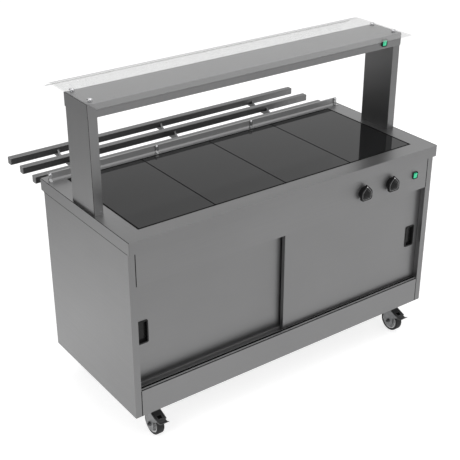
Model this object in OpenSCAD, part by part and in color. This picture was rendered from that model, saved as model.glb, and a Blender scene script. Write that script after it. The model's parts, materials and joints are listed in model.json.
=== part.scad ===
// Mobile heated servery counter: glass hot top, sliding door hot cupboard,
// heated gantry with a curved clear guard, fold-down tray slide, braked swivel casters.
// Sizes are in millimetres. The modules work in counter coordinates: x = 0 at the middle
// of the counter, y = 0 at the counter's front edge, z = 0 on the floor. The doors face -Y.

/* [Counter top] */
// Width of the counter top
counter_w = 1500; // [1440:10:1560]
// Depth of the counter top
counter_d = 672; // [660:2:700]
// Height of the working surface over the floor
counter_h = 900; // [880:5:930]
// Height of the turned-down edge
lip_h = 48; // [40:1:56]
// Thickness of the steel sheet
sheet = 2; // [1.5:0.1:2.2]
// Radius of the corners of the top
corner_r = 4; // [3:0.5:8]

/* [Hot top] */
// Number of glass panels
panels = 4; // [3:1:4]
// Counter side edge to the hot top's opening
hot_side = 85; // [82:1:90]
// Rear of the glass to the counter's rear edge
panel_back = 72; // [70:1:78]
// Thickness of the glass
glass_t = 6; // [4:0.5:7]
// Width of the sealed joint between panels
joint_w = 2; // [1.5:0.5:3]
// Front edge of the counter to the front of the glass
panel_front = 78; // [74:1:80]
// Depth of the heater tray below the glass
tray_h = 56; // [48:1:64]
// Width of the bars and ledge that the glass lies on
ledge_w = 20; // [16:1:24]

/* [Cabinet] */
// Counter side edge to the cabinet side
side_inset = 3; // [3:0.5:6]
// Counter front edge to the cabinet front
front_inset = 16; // [14:1:20]
// Counter rear edge to the cabinet back
back_inset = 20; // [16:1:24]
// Underside of the cabinet over the floor
body_bottom = 145; // [140:1:150]
// Height of the control fascia
fascia_h = 142; // [134:1:150]
// Height of the front plinth
plinth_h = 116; // [110:1:122]
// Width of the front stiles
stile_w = 28; // [25:1:32]
// Depth of the stile's return beside the doors
stile_return = 25; // [22:1:30]
// Width of the inner flange behind the stile
stile_flange = 14; // [10:1:16]
// Gap between the stiles and the panels between them
panel_gap = 1.5; // [1:0.5:2.5]
// Thickness of the insulated cupboard wall
wall_t = 40; // [36:1:44]
// Height of the middle shelf over the cupboard floor
shelf_rise = 220; // [200:5:240]

/* [Doors] */
// Thickness of a door
door_t = 18; // [16:1:20]
// Overlap of the two closed doors at the middle
door_overlap = 50; // [40:5:60]
// How far a closed door reaches behind its stile
door_tuck = 6; // [4:1:8]
// Distance between the two door tracks
door_pitch = 25; // [24:1:28]
// Width of the recessed handle
handle_w = 50; // [44:1:54]
// Height of the recessed handle
handle_h = 100; // [90:1:110]
// Door's outer end to the middle of the handle
handle_in = 52; // [48:1:60]
// Middle of the handle below the door opening's top
handle_drop = 232; // [215:1:245]

/* [Controls] */
// Counter side edge to the middle of the hot top's knob
knob_in = 393; // [380:1:410]
// Distance between the two knobs
knob_pitch = 151; // [140:1:160]
// Width of a knob
knob_w = 58; // [52:1:60]
// Height of a knob
knob_h = 67; // [62:1:70]
// How far a knob stands out
knob_reach = 24; // [20:1:28]
// Middle of the controls above the fascia's lower edge
control_rise = 75; // [70:1:78]
// Counter side edge to the middle of the rocker switches
switch_in = 104; // [98:1:120]
// Width of a rocker switch
switch_w = 28; // [26:1:30]
// Height of a rocker switch
switch_h = 31; // [29:1:32]

/* [Gantry] */
// Front edge of the counter to the front of the gantry
gantry_front = 252; // [240:1:262]
// Depth of the overshelf
gantry_d = 170; // [160:1:176]
// Top of the overshelf above the counter
gantry_h = 424; // [400:2:440]
// Height of the overshelf's edge
shelf_h = 52; // [48:1:58]
// Counter side edge to the overshelf's end
gantry_inset = 8; // [6:1:12]
// Width of a post
post_w = 36; // [32:1:40]
// Diameter of a quartz heat tube
tube_d = 12; // [10:0.5:14]
// Front of the overshelf to the foot of the lamp reflector
reflector_in = 28; // [26:1:32]

/* [Clear guard] */
// Thickness of the clear sheet
guard_t = 6; // [5:0.5:8]
// Front edge of the counter to the front of the sheet
guard_front = 185; // [175:1:200]
// Front edge of the counter to the start of the bend
guard_bend_y = 500; // [480:5:520]
// Outer radius of the bend
guard_r = 150; // [130:5:160]
// Straight part below the bend
guard_drop = 28; // [20:1:40]
// Gap between the overshelf and the sheet
guard_gap = 3; // [2:0.5:5]
// Diameter of a standoff's cap
cap_d = 20; // [18:1:22]
// Height of a standoff's cap
cap_h = 5; // [4:0.5:7]

/* [Rear upstand] */
// Height of the upstand strip
upstand_h = 24; // [20:1:28]
// Gap between the counter and the strip
upstand_gap = 6; // [4:1:8]
// Counter rear edge to the front of the brackets
upstand_in = 52; // [48:1:56]
// Counter side edge to the end of the strip
upstand_side = 15; // [10:1:40]

/* [Tray slide] */
// Number of rails
rails = 3; // [2:1:3]
// Side of a square rail
rail_s = 30; // [26:1:32]
// Wall of a rail
rail_wall = 2; // [1.5:0.1:2.5]
// How far the rails are set to the right
rail_shift = 25; // [0:1:30]
// Distance between two rails
rail_pitch = 115; // [105:1:120]
// Counter rear edge to the first rail
rail_first = 98; // [90:1:105]
// Top of the rails below the working surface
rail_drop = 38; // [36:1:44]
// End of the rails to the middle of the outer arm
arm_in = 230; // [210:5:270]
// Thickness of an arm
arm_t = 8; // [6:0.5:10]
// Height of the arm's horns beside the rails
horn_h = 18; // [14:1:22]
// Counter rear edge to the fold pivot
pivot_out = 15; // [13:1:18]
// Rail seat to the fold pivot
pivot_drop = 20; // [18:1:24]
// Diameter of the fold pivot pin
pivot_d = 12; // [10:1:14]

/* [Casters] */
// Diameter of a wheel
wheel_d = 100; // [95:1:102]
// Width of a tyre
wheel_w = 32; // [28:1:34]
// Counter side edge to a swivel axis
caster_side_in = 113; // [110:1:130]
// Cabinet front or back to a swivel axis
caster_in = 87; // [80:1:100]
// Swivel axis to the wheel's axle
trail = 35; // [30:1:38]
// Diameter of the axle
axle_d = 12; // [10:0.5:13]
// How far the brake pedal reaches past the axle
pedal_reach = 80; // [76:1:84]

/* [Hidden] */
$fn = 48;

// Clearances: between fixed pieces, in running fits, beside a sliding door, past a cut
fit = 0.3;
run = 0.05;
slide_gap = 1;
cut = 3;

// Heights and planes of the counter and cabinet
lip_z = counter_h - lip_h;
deck_under = counter_h - sheet;
fascia_z = lip_z - fascia_h;
plinth_z = body_bottom + plinth_h;
body_x = counter_w / 2 - side_inset;
body_y0 = front_inset;
body_y1 = counter_d - back_inset;
opening_x = body_x - stile_w;
skin_x = body_x - sheet;
back_y = body_y1 - sheet;
flange_w = 20;

// Glass and heater tray
hot_w = counter_w - 2 * hot_side;
panel_pitch = (hot_w - joint_w) / panels;
panel_d = counter_d - panel_front - panel_back;
glass_w = panel_pitch - joint_w;
hot_d = panel_d + 2 * joint_w;
hot_y = panel_front - joint_w;
glass_z = counter_h - glass_t;
ledge_z = glass_z - sheet;
panel_x = [for (i = [0:panels - 1]) (i - (panels - 1) / 2) * panel_pitch];
tray_z = glass_z - tray_h;
seal_drop = 0.5;
heater_clear = 2;
heater_slots = 5;
slot_w = 8;

// Doors and their tracks
door_y = [body_y0 + stile_return + slide_gap, body_y0 + stile_return + slide_gap + door_pitch];
door_end = opening_x + door_tuck;
door_w = door_end + door_overlap / 2;
door_sheet = 1.2;
track_t = 1.5;
track_depth = 14;
door_z0 = plinth_z - track_depth + track_t + fit;
head_room = 18;
top_track_z = fascia_z + head_room;
door_z1 = top_track_z - fit;
groove_h = 12;
track_back = door_y[1] + door_t + slide_gap + track_t;
nose_back = 5;
nose_y = body_y0 + nose_back;
nose_t = sheet + fit;
handle_r = 8;
handle_depth = 15;
handle_z = fascia_z - handle_drop;
handle_rim = 2;
rim_w = 4;
cup_wall = 2;

// Cupboard
liner_gap = 5;
liner_y = track_back + liner_gap;
liner_x = skin_x - fit - wall_t;
floor_y = track_back + fit;
floor_end = back_y - sheet - 2 * fit;
ceiling_drop = 2;
ceiling_z = fascia_z - ceiling_drop;
shelf_z = plinth_z + shelf_rise;
shelf_fold = 20;
shelf_slots = 9;
shelf_slot_share = 0.58;
shelf_slot_d = 12;
bracket_w = 14;
bracket_h = 12;
element_d = 9;
element_turns = 3;
element_drop = 28;
element_side = 225;
element_reach = liner_x - element_side;
element_bar = 8;

// Controls
control_z = fascia_z + control_rise;
knob_x = counter_w / 2 - knob_in;
switch_x = counter_w / 2 - switch_in;
knob_base_t = 9;
grip_share = 0.7;
knob_flat_share = 0.45;
spindle_d = 6;
spindle_hole = 10;
spindle_reach = 18;
regulator_s = 46;
regulator_d = 40;
bezel_t = 2;
bezel_w = 2;
switch_depth = 22;
switch_wall = 1.6;
rocker_tilt = 8;
rocker_pin_d = 3;
rocker_back = 4;
rocker_proud = 3.5;
rocker_dip = 1.5;
rocker_share = 0.86;
gland_side = 150;
gland_rise = 45;
gland_x = gland_side - counter_w / 2;
gland_z = body_bottom + gland_rise;
gland_bore = 13;
gland_d = 24;
gland_nut = 34;
gland_out = 22;
gland_in = 8;
gland_nut_t = 5;

// Gantry and guard
gantry_x = counter_w / 2 - gantry_inset;
gantry_z = counter_h + gantry_h;
shelf_under = gantry_z - shelf_h;
post_out = gantry_x - sheet - fit;
post_in = post_out - post_w;
post_y0 = gantry_front + sheet + fit;
post_y1 = gantry_front + gantry_d - sheet - fit;
tube_drop = 34;
tube_z = gantry_z - tube_drop;
reflector_flare = 14;
reflector_foot = gantry_d / 2 - reflector_in;
reflector_top = reflector_foot - reflector_flare;
tube_pitch = 2 * (reflector_top - tube_d);
reflector_gap = 6;
reflector_x = post_in - reflector_gap;
guard_wire = 4;
guard_wires = 5;
guard_cross = 15;
guard_z = gantry_z + guard_gap;
guard_hole = 10;
standoff_in = [24, 18];
standoff_spacer = 16;

// Upstand
upstand_l = counter_w - 2 * upstand_side;
upstand_y = counter_d - upstand_in;
upstand_bracket = [16, 8, 34];
upstand_screw_d = 9;
upstand_screw_z = 26;
foot_l = 12;

// Tray slide
rail_l = counter_w;
arm_pitch = rail_l / 2 - arm_in;
seat_z = counter_h - rail_drop - rail_s;
rail_y = [for (i = [0:rails - 1]) counter_d + rail_first + i * rail_pitch];
rail_back = rail_y[rails - 1] + rail_s;
rail_corner = 3;
rail_cap_t = 2;
plug_l = 8;
pivot_y = counter_d + pivot_out;
pivot_z = seat_z - pivot_drop;
boss_wall = 7;
boss_r = pivot_d / 2 + boss_wall;
arm_tip_h = 14;
horn_w = 10;
valley_drop = 6;
ear_t = 4;
bracket_plate = [60, 3, 70];
bracket_screw_d = 7;
bracket_screw_pitch = 52;

// Casters
caster_y = [body_y0 + caster_in, body_y0 + caster_in, body_y1 - caster_in, body_y1 - caster_in];
caster_x = counter_w / 2 - caster_side_in;
caster_side = [-1, 1, -1, 1];
caster_turn = [0, 0, 180, 180];
caster_h = body_bottom + sheet;
wheel_r = wheel_d / 2;
plate_size = [100, 84, 4];
plate_hole_d = 9;
plate_hole_pitch = [80, 60];
race_r = 28;
race_h = 10;
king_r = 8;
king_nut_r = 12;
king_nut_h = 6;
crown_r = 30;
crown_t = 5;
crown_top = caster_h - plate_size[2] - race_h - fit;
crown_rise = 15;
crown_z = crown_top - crown_rise;
wheel_gap = 3;
leg_in = wheel_w / 2 + wheel_gap;
leg_t = 4;
leg_r = 28;
leg_h = crown_z + crown_t - wheel_r;
leg_wing = 53;
leg_back = 20;
leg_shares = [[-0.52, 0], [-0.57, 0.22], [-1.04, 1], [0.08, 1], [0.23, 0.77], [1, 0.56], [0.98, 0.5],
    [0.6, 0.36], [0.45, 0.2]];
axle_head_r = 10;
axle_head_h = 5;
hub_core_r = 13;
hub_web = 6;
hub_rim_t = 6;
hub_rim_in = 1.5;
tyre_t = 9;
tyre_round = 5;
pedal_pin_out = 31;
pedal_pin_drop = 9.5;
pedal_pin_z = crown_z - pedal_pin_drop;
pedal_pin_r = 3;
pedal_l = trail + pedal_reach - pedal_pin_out;
pedal_rise = 28;
pedal_w = wheel_w + 2 * wheel_gap - 2 * slide_gap;
pedal_pocket_w = 18;
pedal_shares = [[-0.08, -0.14], [-0.08, 0.11], [-0.02, 0.25], [0.1, 0.14], [0.2, -0.09], [0.66, -0.59],
    [0.67, -0.68], [0.79, -0.79], [0.9, -0.68], [1, -0.48], [1, -0.59], [0.9, -0.82], [0.76, -0.96],
    [0.64, -1], [0.52, -0.79], [0.41, -0.52], [0.29, -0.34], [0.14, -0.21], [0, -0.19]];
pocket_shares = [[0.42, 0.2], [0.42, -0.43], [0.6, -0.64], [0.6, 0.2]];
tube_wall = 3;
chassis_s = 40;

// The reference point: middle of the whole trolley's box, on the floor
pedal_tip = caster_y[0] - trail - pedal_reach;
origin_x = (max(counter_w / 2, rail_shift + rail_l / 2) + min(-counter_w / 2, rail_shift - rail_l / 2)) / 2;
origin_y = (min(0, pedal_tip) + rail_back) / 2;
arm_x = [for (i = [-1:1]) origin_x + i * arm_pitch];

// Moves a piece from counter coordinates to the reference point
module placed() {
    translate([-origin_x, -origin_y, 0]) children();
}

// A box between two corners
module slab(x0, x1, y0, y1, z0, z1) {
    translate([x0, y0, z0]) cube([x1 - x0, y1 - y0, z1 - z0]);
}

// Extrudes an outline drawn in (y, z) from x0 to x1
module along_x(x0, x1) {
    translate([x0, 0, 0]) rotate([90, 0, 90]) linear_extrude(x1 - x0) children();
}

// Extrudes an outline drawn in (x, z) from y0 to y1
module along_y(y0, y1) {
    translate([0, y1, 0]) rotate([90, 0, 0]) linear_extrude(y1 - y0) children();
}

// A round bar along X, centred on x
module bar_x(r, l) {
    rotate([0, 90, 0]) cylinder(r = r, h = l, center = true);
}

// A rectangle with round corners, centred
module rounded(w, h, r) {
    square([w - 2 * r, h], center = true);
    square([w, h - 2 * r], center = true);
    for (x = [-1, 1], y = [-1, 1])
        translate([x * (w / 2 - r), y * (h / 2 - r)]) circle(r);
}

// A rectangle between two corners of an outline
module patch(x0, x1, y0, y1) {
    translate([x0, y0]) square([x1 - x0, y1 - y0]);
}

// Counter top: folded tray with turned-down edges and the hot top's opening
module counter_top() {
    color("silver") placed() difference() {
        translate([0, counter_d / 2, lip_z])
            linear_extrude(lip_h) rounded(counter_w, counter_d, corner_r);
        slab(-counter_w / 2 + sheet, counter_w / 2 - sheet, sheet, counter_d - sheet,
            lip_z + sheet, deck_under);
        slab(-counter_w / 2 + sheet, counter_w / 2 - sheet, body_y0 - fit, body_y1 + fit,
            lip_z - cut, lip_z + sheet + cut);
        slab(-hot_w / 2, hot_w / 2, hot_y, hot_y + hot_d, deck_under - cut, counter_h + cut);
    }
}

// Tray below the glass: walls, floor, the ledge and bars that the panels lie on, and their webs
module hot_top_tray() {
    wall = ledge_w - joint_w;
    x1 = hot_w / 2 + sheet;
    y0 = hot_y - sheet;
    y1 = hot_y + hot_d + sheet;
    color("gainsboro") placed() {
        difference() {
            slab(-x1, x1, y0, y1, tray_z, deck_under);
            slab(-x1 + sheet, x1 - sheet, y0 + sheet, y1 - sheet, glass_z, counter_h);
            slab(-x1 + sheet, x1 - sheet, y0 + sheet, y1 - sheet, tray_z + sheet, ledge_z);
            for (x = panel_x)
                slab(x - (panel_pitch - ledge_w) / 2, x + (panel_pitch - ledge_w) / 2,
                    hot_y + wall, hot_y + hot_d - wall, ledge_z - cut, glass_z + cut);
        }
        for (i = [1:panels - 1])
            translate([panel_x[i] - panel_pitch / 2, 0, 0])
                slab(-sheet / 2, sheet / 2, y0 + sheet, y1 - sheet, tray_z + sheet, ledge_z);
    }
}

// Glass panels, side by side
module glass_panels() {
    color("dimgray") placed()
        for (x = panel_x)
            translate([x, panel_front + panel_d / 2, glass_z])
                linear_extrude(glass_t) rounded(glass_w, panel_d, joint_w);
}

// Silicone seal: the black grid round and between the panels
module glass_seal() {
    color("black") placed() difference() {
        slab(-hot_w / 2 + fit, hot_w / 2 - fit, hot_y + fit, hot_y + hot_d - fit,
            glass_z, counter_h - seal_drop);
        for (x = panel_x)
            translate([x, panel_front + panel_d / 2, glass_z - cut])
                linear_extrude(glass_t + 2 * cut) rounded(glass_w + run, panel_d + run, joint_w);
    }
}

// Heater units: one insulating block under each panel, with the coil slots in its top
module heater_units() {
    w = panel_pitch - ledge_w - 2 * heater_clear;
    y0 = hot_y + ledge_w - joint_w + heater_clear;
    y1 = hot_y + hot_d - ledge_w + joint_w - heater_clear;
    color("darkgray") placed()
        for (x = panel_x)
            translate([x, 0, 0]) difference() {
                slab(-w / 2, w / 2, y0, y1, tray_z + sheet, glass_z - fit);
                for (k = [0:heater_slots - 1])
                    translate([0, y0 + (y1 - y0) * (k + 1) / (heater_slots + 1), 0])
                        slab(-w / 2 + ledge_w, w / 2 - ledge_w, -slot_w / 2, slot_w / 2,
                            glass_z - slot_w, glass_z + cut);
            }
}

// Side panel outline seen from above, for the left side
module side_outline() {
    patch(-body_x, -skin_x, body_y0, back_y - fit);
    patch(-body_x, -opening_x, body_y0, body_y0 + sheet);
    patch(-opening_x - sheet, -opening_x, body_y0, body_y0 + stile_return);
    patch(-opening_x - stile_flange, -opening_x, body_y0 + stile_return - sheet,
        body_y0 + stile_return);
    patch(-body_x, -body_x + flange_w, back_y - fit - sheet, back_y - fit);
}

// Side panel: one folded sheet with its stile, and the bottom flange
module side_panel() {
    translate([0, 0, body_bottom]) linear_extrude(deck_under - body_bottom) side_outline();
    slab(-body_x, -body_x + flange_w, body_y0 + stile_return, back_y - fit,
        body_bottom, body_bottom + sheet);
}

module left_side_panel() {
    color("silver") placed() side_panel();
}

module right_side_panel() {
    color("silver") placed() mirror([1, 0, 0]) side_panel();
}

// Back panel with the hole for the cable gland
module back_panel() {
    color("silver") placed() difference() {
        union() {
            slab(-body_x, body_x, back_y, body_y1, body_bottom, lip_z - fit);
            slab(-skin_x + flange_w + fit, skin_x - flange_w - fit, back_y - flange_w, back_y,
                body_bottom, body_bottom + sheet);
        }
        translate([gland_x, back_y - cut, gland_z]) rotate([-90, 0, 0])
            cylinder(d = gland_d + 2 * run, h = sheet + 2 * cut);
    }
}

// Front plinth with its top and bottom flanges
module front_plinth() {
    x1 = opening_x - panel_gap;
    color("silver") placed() along_x(-x1, x1) {
        patch(body_y0, body_y0 + sheet, body_bottom, plinth_z - nose_t);
        patch(body_y0, body_y0 + flange_w, plinth_z - nose_t - sheet, plinth_z - nose_t);
        patch(body_y0, body_y0 + flange_w, body_bottom, body_bottom + sheet);
    }
}

// Control fascia with the holes for two spindles and a switch
module control_fascia() {
    x1 = opening_x - panel_gap;
    color("silver") placed() difference() {
        along_x(-x1, x1) {
            patch(body_y0, body_y0 + sheet, fascia_z, lip_z - fit);
            patch(body_y0, body_y0 + stile_return - sheet, fascia_z, fascia_z + sheet);
            patch(body_y0, body_y0 + flange_w, lip_z - fit - sheet, lip_z - fit);
        }
        for (x = [knob_x, knob_x + knob_pitch])
            translate([x, body_y0 - cut, control_z]) rotate([-90, 0, 0])
                cylinder(d = spindle_hole, h = sheet + 2 * cut);
        translate([switch_x, body_y0, control_z]) switch_hole();
    }
}

// Cut-out for a switch body in a front face
module switch_hole() {
    slab(-switch_w / 2 + bezel_w - fit, switch_w / 2 - bezel_w + fit, -cut, sheet + cut,
        -switch_h / 2 + bezel_w - fit, switch_h / 2 - bezel_w + fit);
}

// Chassis: square tubes that carry the cabinet on the casters
module chassis() {
    color("gray") placed() difference() {
        chassis_bars(chassis_s, 0);
        chassis_bars(chassis_s - 2 * tube_wall, cut);
    }
}

// The chassis tubes' outlines at side s, the long ones over by the given length
module chassis_bars(s, over) {
    x1 = skin_x - fit + over;
    zc = caster_h + chassis_s / 2;
    for (y = [caster_y[0], caster_y[2]])
        slab(-x1, x1, y - s / 2, y + s / 2, zc - s / 2, zc + s / 2);
    for (x = [-caster_x, 0, caster_x])
        slab(x - s / 2, x + s / 2, caster_y[0], caster_y[2], zc - s / 2, zc + s / 2);
}

// Cupboard floor with turned-down edges
module cabinet_floor() {
    x1 = skin_x - fit;
    color("lightgray") placed() {
        slab(-x1, x1, floor_y, floor_end, plinth_z - sheet, plinth_z);
        for (s = [-1, 1])
            slab(min(s * x1, s * (x1 - sheet)), max(s * x1, s * (x1 - sheet)), floor_y, floor_end,
                plinth_z - flange_w, plinth_z);
        slab(-x1, x1, floor_end - sheet, floor_end, plinth_z - flange_w, plinth_z);
    }
}

// Cupboard liner: two side walls, the back wall and the ceiling
module liner_panels() {
    x1 = skin_x - fit;
    y1 = back_y - fit - flange_w;
    color("lightgray") placed() {
        for (s = [0, 1]) mirror([s, 0, 0])
            translate([0, 0, plinth_z]) linear_extrude(ceiling_z - plinth_z) {
                patch(-liner_x - sheet, -liner_x, liner_y, y1);
                patch(-x1, -liner_x, liner_y, liner_y + sheet);
                patch(-x1, -liner_x, y1 - sheet, y1);
            }
        along_x(-liner_x + fit, liner_x - fit) {
            patch(y1 - sheet, y1, plinth_z, ceiling_z);
            patch(y1 - sheet, back_y - fit, plinth_z, plinth_z + sheet);
            patch(y1 - sheet, back_y - fit, ceiling_z - sheet, ceiling_z);
        }
        slab(-x1, x1, liner_y, floor_end, ceiling_z + fit, ceiling_z + fit + sheet);
    }
}

// Middle shelf: folded sheet with air slots
module cupboard_shelf() {
    x1 = liner_x - fit;
    y0 = liner_y + sheet;
    y1 = back_y - flange_w - 2 * fit - sheet;
    pitch = 2 * x1 / shelf_slots;
    slot_l = pitch * shelf_slot_share;
    color("lightgray") placed() difference() {
        union() {
            slab(-x1, x1, y0, y1, shelf_z, shelf_z + sheet);
            for (y = [y0, y1 - sheet])
                slab(-x1 + bracket_w + fit, x1 - bracket_w - fit, y, y + sheet,
                    shelf_z - shelf_fold, shelf_z + sheet);
        }
        for (i = [0:shelf_slots - 1], k = [1:3])
            translate([(i - (shelf_slots - 1) / 2) * pitch, y0 + (y1 - y0) * k / 4, 0])
                slab(-slot_l / 2, slot_l / 2, -shelf_slot_d / 2, shelf_slot_d / 2,
                    shelf_z - cut, shelf_z + sheet + cut);
    }
}

// Ledges on the side walls that the shelf lies on
module shelf_brackets() {
    color("silver") placed()
        for (s = [0, 1]) mirror([s, 0, 0])
            along_y(liner_y + 2 * sheet, back_y - flange_w - fit - 2 * sheet) {
                patch(-liner_x, -liner_x + bracket_w, shelf_z - sheet, shelf_z);
                patch(-liner_x, -liner_x + sheet, shelf_z - bracket_h, shelf_z);
            }
}

// Middle and rear walls of a door track, between z0 and z1
module track_walls(z0, z1) {
    gap = door_y[1] - door_y[0] - door_t - 2 * slide_gap;
    patch(door_y[1] - slide_gap - gap, door_y[1] - slide_gap, z0, z1);
    patch(track_back - track_t, track_back, z0, z1);
}

// Top track: two downward grooves behind the fascia
module top_door_track() {
    x1 = skin_x - fit;
    z1 = top_track_z + track_t;
    y0 = door_y[0] - slide_gap;
    color("silver") placed() {
        along_x(-x1, x1) {
            patch(y0 + fit, track_back, top_track_z, z1);
            track_walls(top_track_z - groove_h, z1);
        }
        along_x(-opening_x + fit, opening_x - fit) {
            patch(y0 - track_t, y0, fascia_z + sheet, z1);
            patch(y0 - track_t, y0 + slide_gap, top_track_z, z1);
        }
    }
}

// Bottom track: the front nose over the plinth, and two grooves that the doors run in
module bottom_door_track() {
    x1 = skin_x - fit;
    z0 = plinth_z - track_depth;
    y0 = door_y[0] - slide_gap;
    color("darkgray") placed() {
        along_x(-x1, x1) {
            patch(y0 + fit, track_back, z0, z0 + track_t);
            track_walls(z0, plinth_z);
        }
        along_x(-opening_x + fit, opening_x - fit) {
            patch(nose_y, y0, plinth_z - sheet, plinth_z);
            patch(y0 - track_t, y0, z0, plinth_z);
            patch(y0 - track_t, y0 + slide_gap, z0, z0 + track_t);
        }
    }
}

// Heating element under the cupboard floor: a flat coil on two hanging bars
module cupboard_element() {
    r = element_d / 2;
    step = (back_y - floor_y) / (2 * element_turns + 2);
    z = plinth_z - sheet - element_drop;
    y0 = floor_y + step;
    color("dimgray") placed() {
        for (k = [0:2 * element_turns - 1])
            translate([0, y0 + k * step, z]) bar_x(r, 2 * element_reach, $fn = 24);
        for (k = [0:2 * element_turns - 2])
            translate([(k % 2 == 0 ? 1 : -1) * element_reach, y0 + (k + 0.5) * step, z])
                rotate([0, 0, k % 2 == 0 ? -90 : 90])
                    rotate_extrude(angle = 180, $fn = 32) translate([step / 2, 0]) circle(r, $fn = 24);
        for (s = [-1, 1])
            slab(s * element_reach / 2 - element_bar / 2, s * element_reach / 2 + element_bar / 2,
                y0 - step / 2, y0 + (2 * element_turns - 0.5) * step, z - r, plinth_z - sheet);
    }
}

// Energy regulator and thermostat behind the fascia, with their spindles
module regulators() {
    y0 = body_y0 + sheet;
    color("gray") placed()
        for (x = [knob_x, knob_x + knob_pitch]) translate([x, 0, control_z]) {
            slab(-regulator_s / 2, regulator_s / 2, y0, y0 + regulator_d,
                -regulator_s / 2, regulator_s / 2);
            translate([0, body_y0 - spindle_reach, 0]) rotate([-90, 0, 0])
                cylinder(d = spindle_d, h = spindle_reach + sheet + cut);
        }
}

// Knob outline in (x, z): flat foot, straight sides and a pointed arch
module knob_outline(share) {
    a = knob_w / 2 * share;
    foot = knob_h * knob_flat_share * share;
    peak = knob_h * share - foot;
    big = (peak * peak + a * a) / (2 * a);
    patch(-a, a, -foot, 0);
    intersection() {
        translate([big - a, 0]) circle(big);
        translate([a - big, 0]) circle(big);
        patch(-a, a, 0, peak);
    }
}

// Control knob: arched skirt, narrower grip, and the spindle's bore
module knob(x) {
    y0 = body_y0 - fit;
    color("black") placed() translate([x, 0, control_z]) difference() {
        union() {
            along_y(y0 - knob_base_t, y0) knob_outline(1);
            along_y(y0 - knob_reach, y0) knob_outline(grip_share);
        }
        translate([0, body_y0 - spindle_reach - fit, 0]) rotate([-90, 0, 0])
            cylinder(d = spindle_d + 2 * run, h = spindle_reach + cut);
    }
}

module hot_top_knob() {
    knob(knob_x);
}

module cupboard_knob() {
    knob(knob_x + knob_pitch);
}

// Places a switch piece at its pivot, for the fascia or the overshelf
module at_switch(front_y, z) {
    placed() translate([switch_x, front_y, z]) children();
}

// Switch housing: bezel, body and the cross pin that the rocker turns on
module switch_body() {
    w = switch_w - 2 * bezel_w;
    h = switch_h - 2 * bezel_w;
    difference() {
        union() {
            along_y(-bezel_t, 0) rounded(switch_w, switch_h, bezel_w);
            slab(-w / 2, w / 2, 0, switch_depth, -h / 2, h / 2);
        }
        slab(-w / 2 + switch_wall, w / 2 - switch_wall, -bezel_t - cut, switch_depth - switch_wall,
            -h / 2 + switch_wall, h / 2 - switch_wall);
    }
    translate([0, rocker_back, 0]) bar_x(rocker_pin_d / 2, w);
}

module switch_bodies() {
    color("black") {
        at_switch(body_y0, control_z) switch_body();
        at_switch(gantry_front, gantry_z - shelf_h / 2) switch_body();
    }
}

// Rocker: front with a shallow valley and the bore for the pin, tilted to one side at rest
module rocker() {
    w = switch_w - 2 * bezel_w - 2 * switch_wall - 2 * fit;
    h = (switch_h / 2 - bezel_w - switch_wall) * rocker_share;
    face = rocker_back + rocker_proud;
    color("mediumseagreen") translate([0, rocker_back, 0]) rotate([rocker_tilt, 0, 0]) difference() {
        along_x(-w / 2, w / 2) polygon([[-face, h], [rocker_dip - face, 0], [-face, -h], [0, -h],
            [rocker_back, -h / 3], [rocker_back, h / 3], [0, h]]);
        bar_x(rocker_pin_d / 2 + run, w + 2 * cut);
    }
}

module main_rocker() {
    at_switch(body_y0, control_z) rocker();
}

module lamp_rocker() {
    at_switch(gantry_front, gantry_z - shelf_h / 2) rocker();
}

// Cable gland low on the back panel
module cable_gland() {
    color("black") placed() translate([gland_x, 0, gland_z]) rotate([-90, 0, 0]) difference() {
        union() {
            translate([0, 0, back_y - gland_in]) cylinder(d = gland_d, h = gland_in + sheet + gland_out);
            translate([0, 0, back_y - fit - gland_nut_t]) cylinder(d = gland_nut, h = gland_nut_t, $fn = 6);
            translate([0, 0, body_y1]) cylinder(d = gland_nut, h = gland_out / 2, $fn = 6);
        }
        translate([0, 0, back_y - gland_in - cut])
            cylinder(d = gland_bore, h = gland_in + sheet + gland_out + 2 * cut);
    }
}

// Gantry post: folded box section standing on the deck
module post() {
    translate([0, 0, counter_h]) linear_extrude(gantry_z - sheet - counter_h) difference() {
        patch(-post_out, -post_in, post_y0, post_y1);
        patch(-post_out + sheet, -post_in - sheet, post_y0 + sheet, post_y1 - sheet);
    }
}

module left_post() {
    color("silver") placed() post();
}

module right_post() {
    color("silver") placed() mirror([1, 0, 0]) post();
}

// Overshelf: folded housing, open below for the heat tubes
module overshelf() {
    y1 = gantry_front + gantry_d;
    color("silver") placed() difference() {
        slab(-gantry_x, gantry_x, gantry_front, y1, shelf_under, gantry_z);
        slab(-gantry_x + sheet, gantry_x - sheet, gantry_front + sheet, y1 - sheet,
            shelf_under - cut, gantry_z - sheet);
        translate([switch_x, gantry_front, gantry_z - shelf_h / 2]) switch_hole();
    }
}

// Reflector: bright trough over the tubes, with end plates that hold them
module lamp_reflector() {
    mid = gantry_front + gantry_d / 2;
    top = reflector_top;
    foot = reflector_foot;
    z1 = gantry_z - sheet;
    z0 = shelf_under + guard_wire + fit;
    color("whitesmoke") placed() {
        along_x(-reflector_x, reflector_x) difference() {
            polygon([[mid - foot, z0], [mid - top, z1], [mid + top, z1], [mid + foot, z0]]);
            polygon([[mid - foot + sheet, z0 - fit], [mid - top + sheet, z1 - sheet],
                [mid + top - sheet, z1 - sheet], [mid + foot - sheet, z0 - fit]]);
        }
        difference() {
            for (s = [-1, 1])
                translate([s * (reflector_x - sheet / 2), 0, 0])
                    slab(-sheet / 2, sheet / 2, mid - top, mid + top, z0, z1 - sheet / 2);
            for (s = [-1, 1])
                translate([0, mid + s * tube_pitch / 2, tube_z])
                    bar_x(tube_d / 2 + run, 2 * reflector_x + 2 * cut);
        }
    }
}

// Quartz heat tubes
module heat_tubes() {
    mid = gantry_front + gantry_d / 2;
    color("lightsalmon") placed()
        for (s = [-1, 1])
            translate([0, mid + s * tube_pitch / 2, tube_z]) bar_x(tube_d / 2, 2 * reflector_x + sheet);
}

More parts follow.
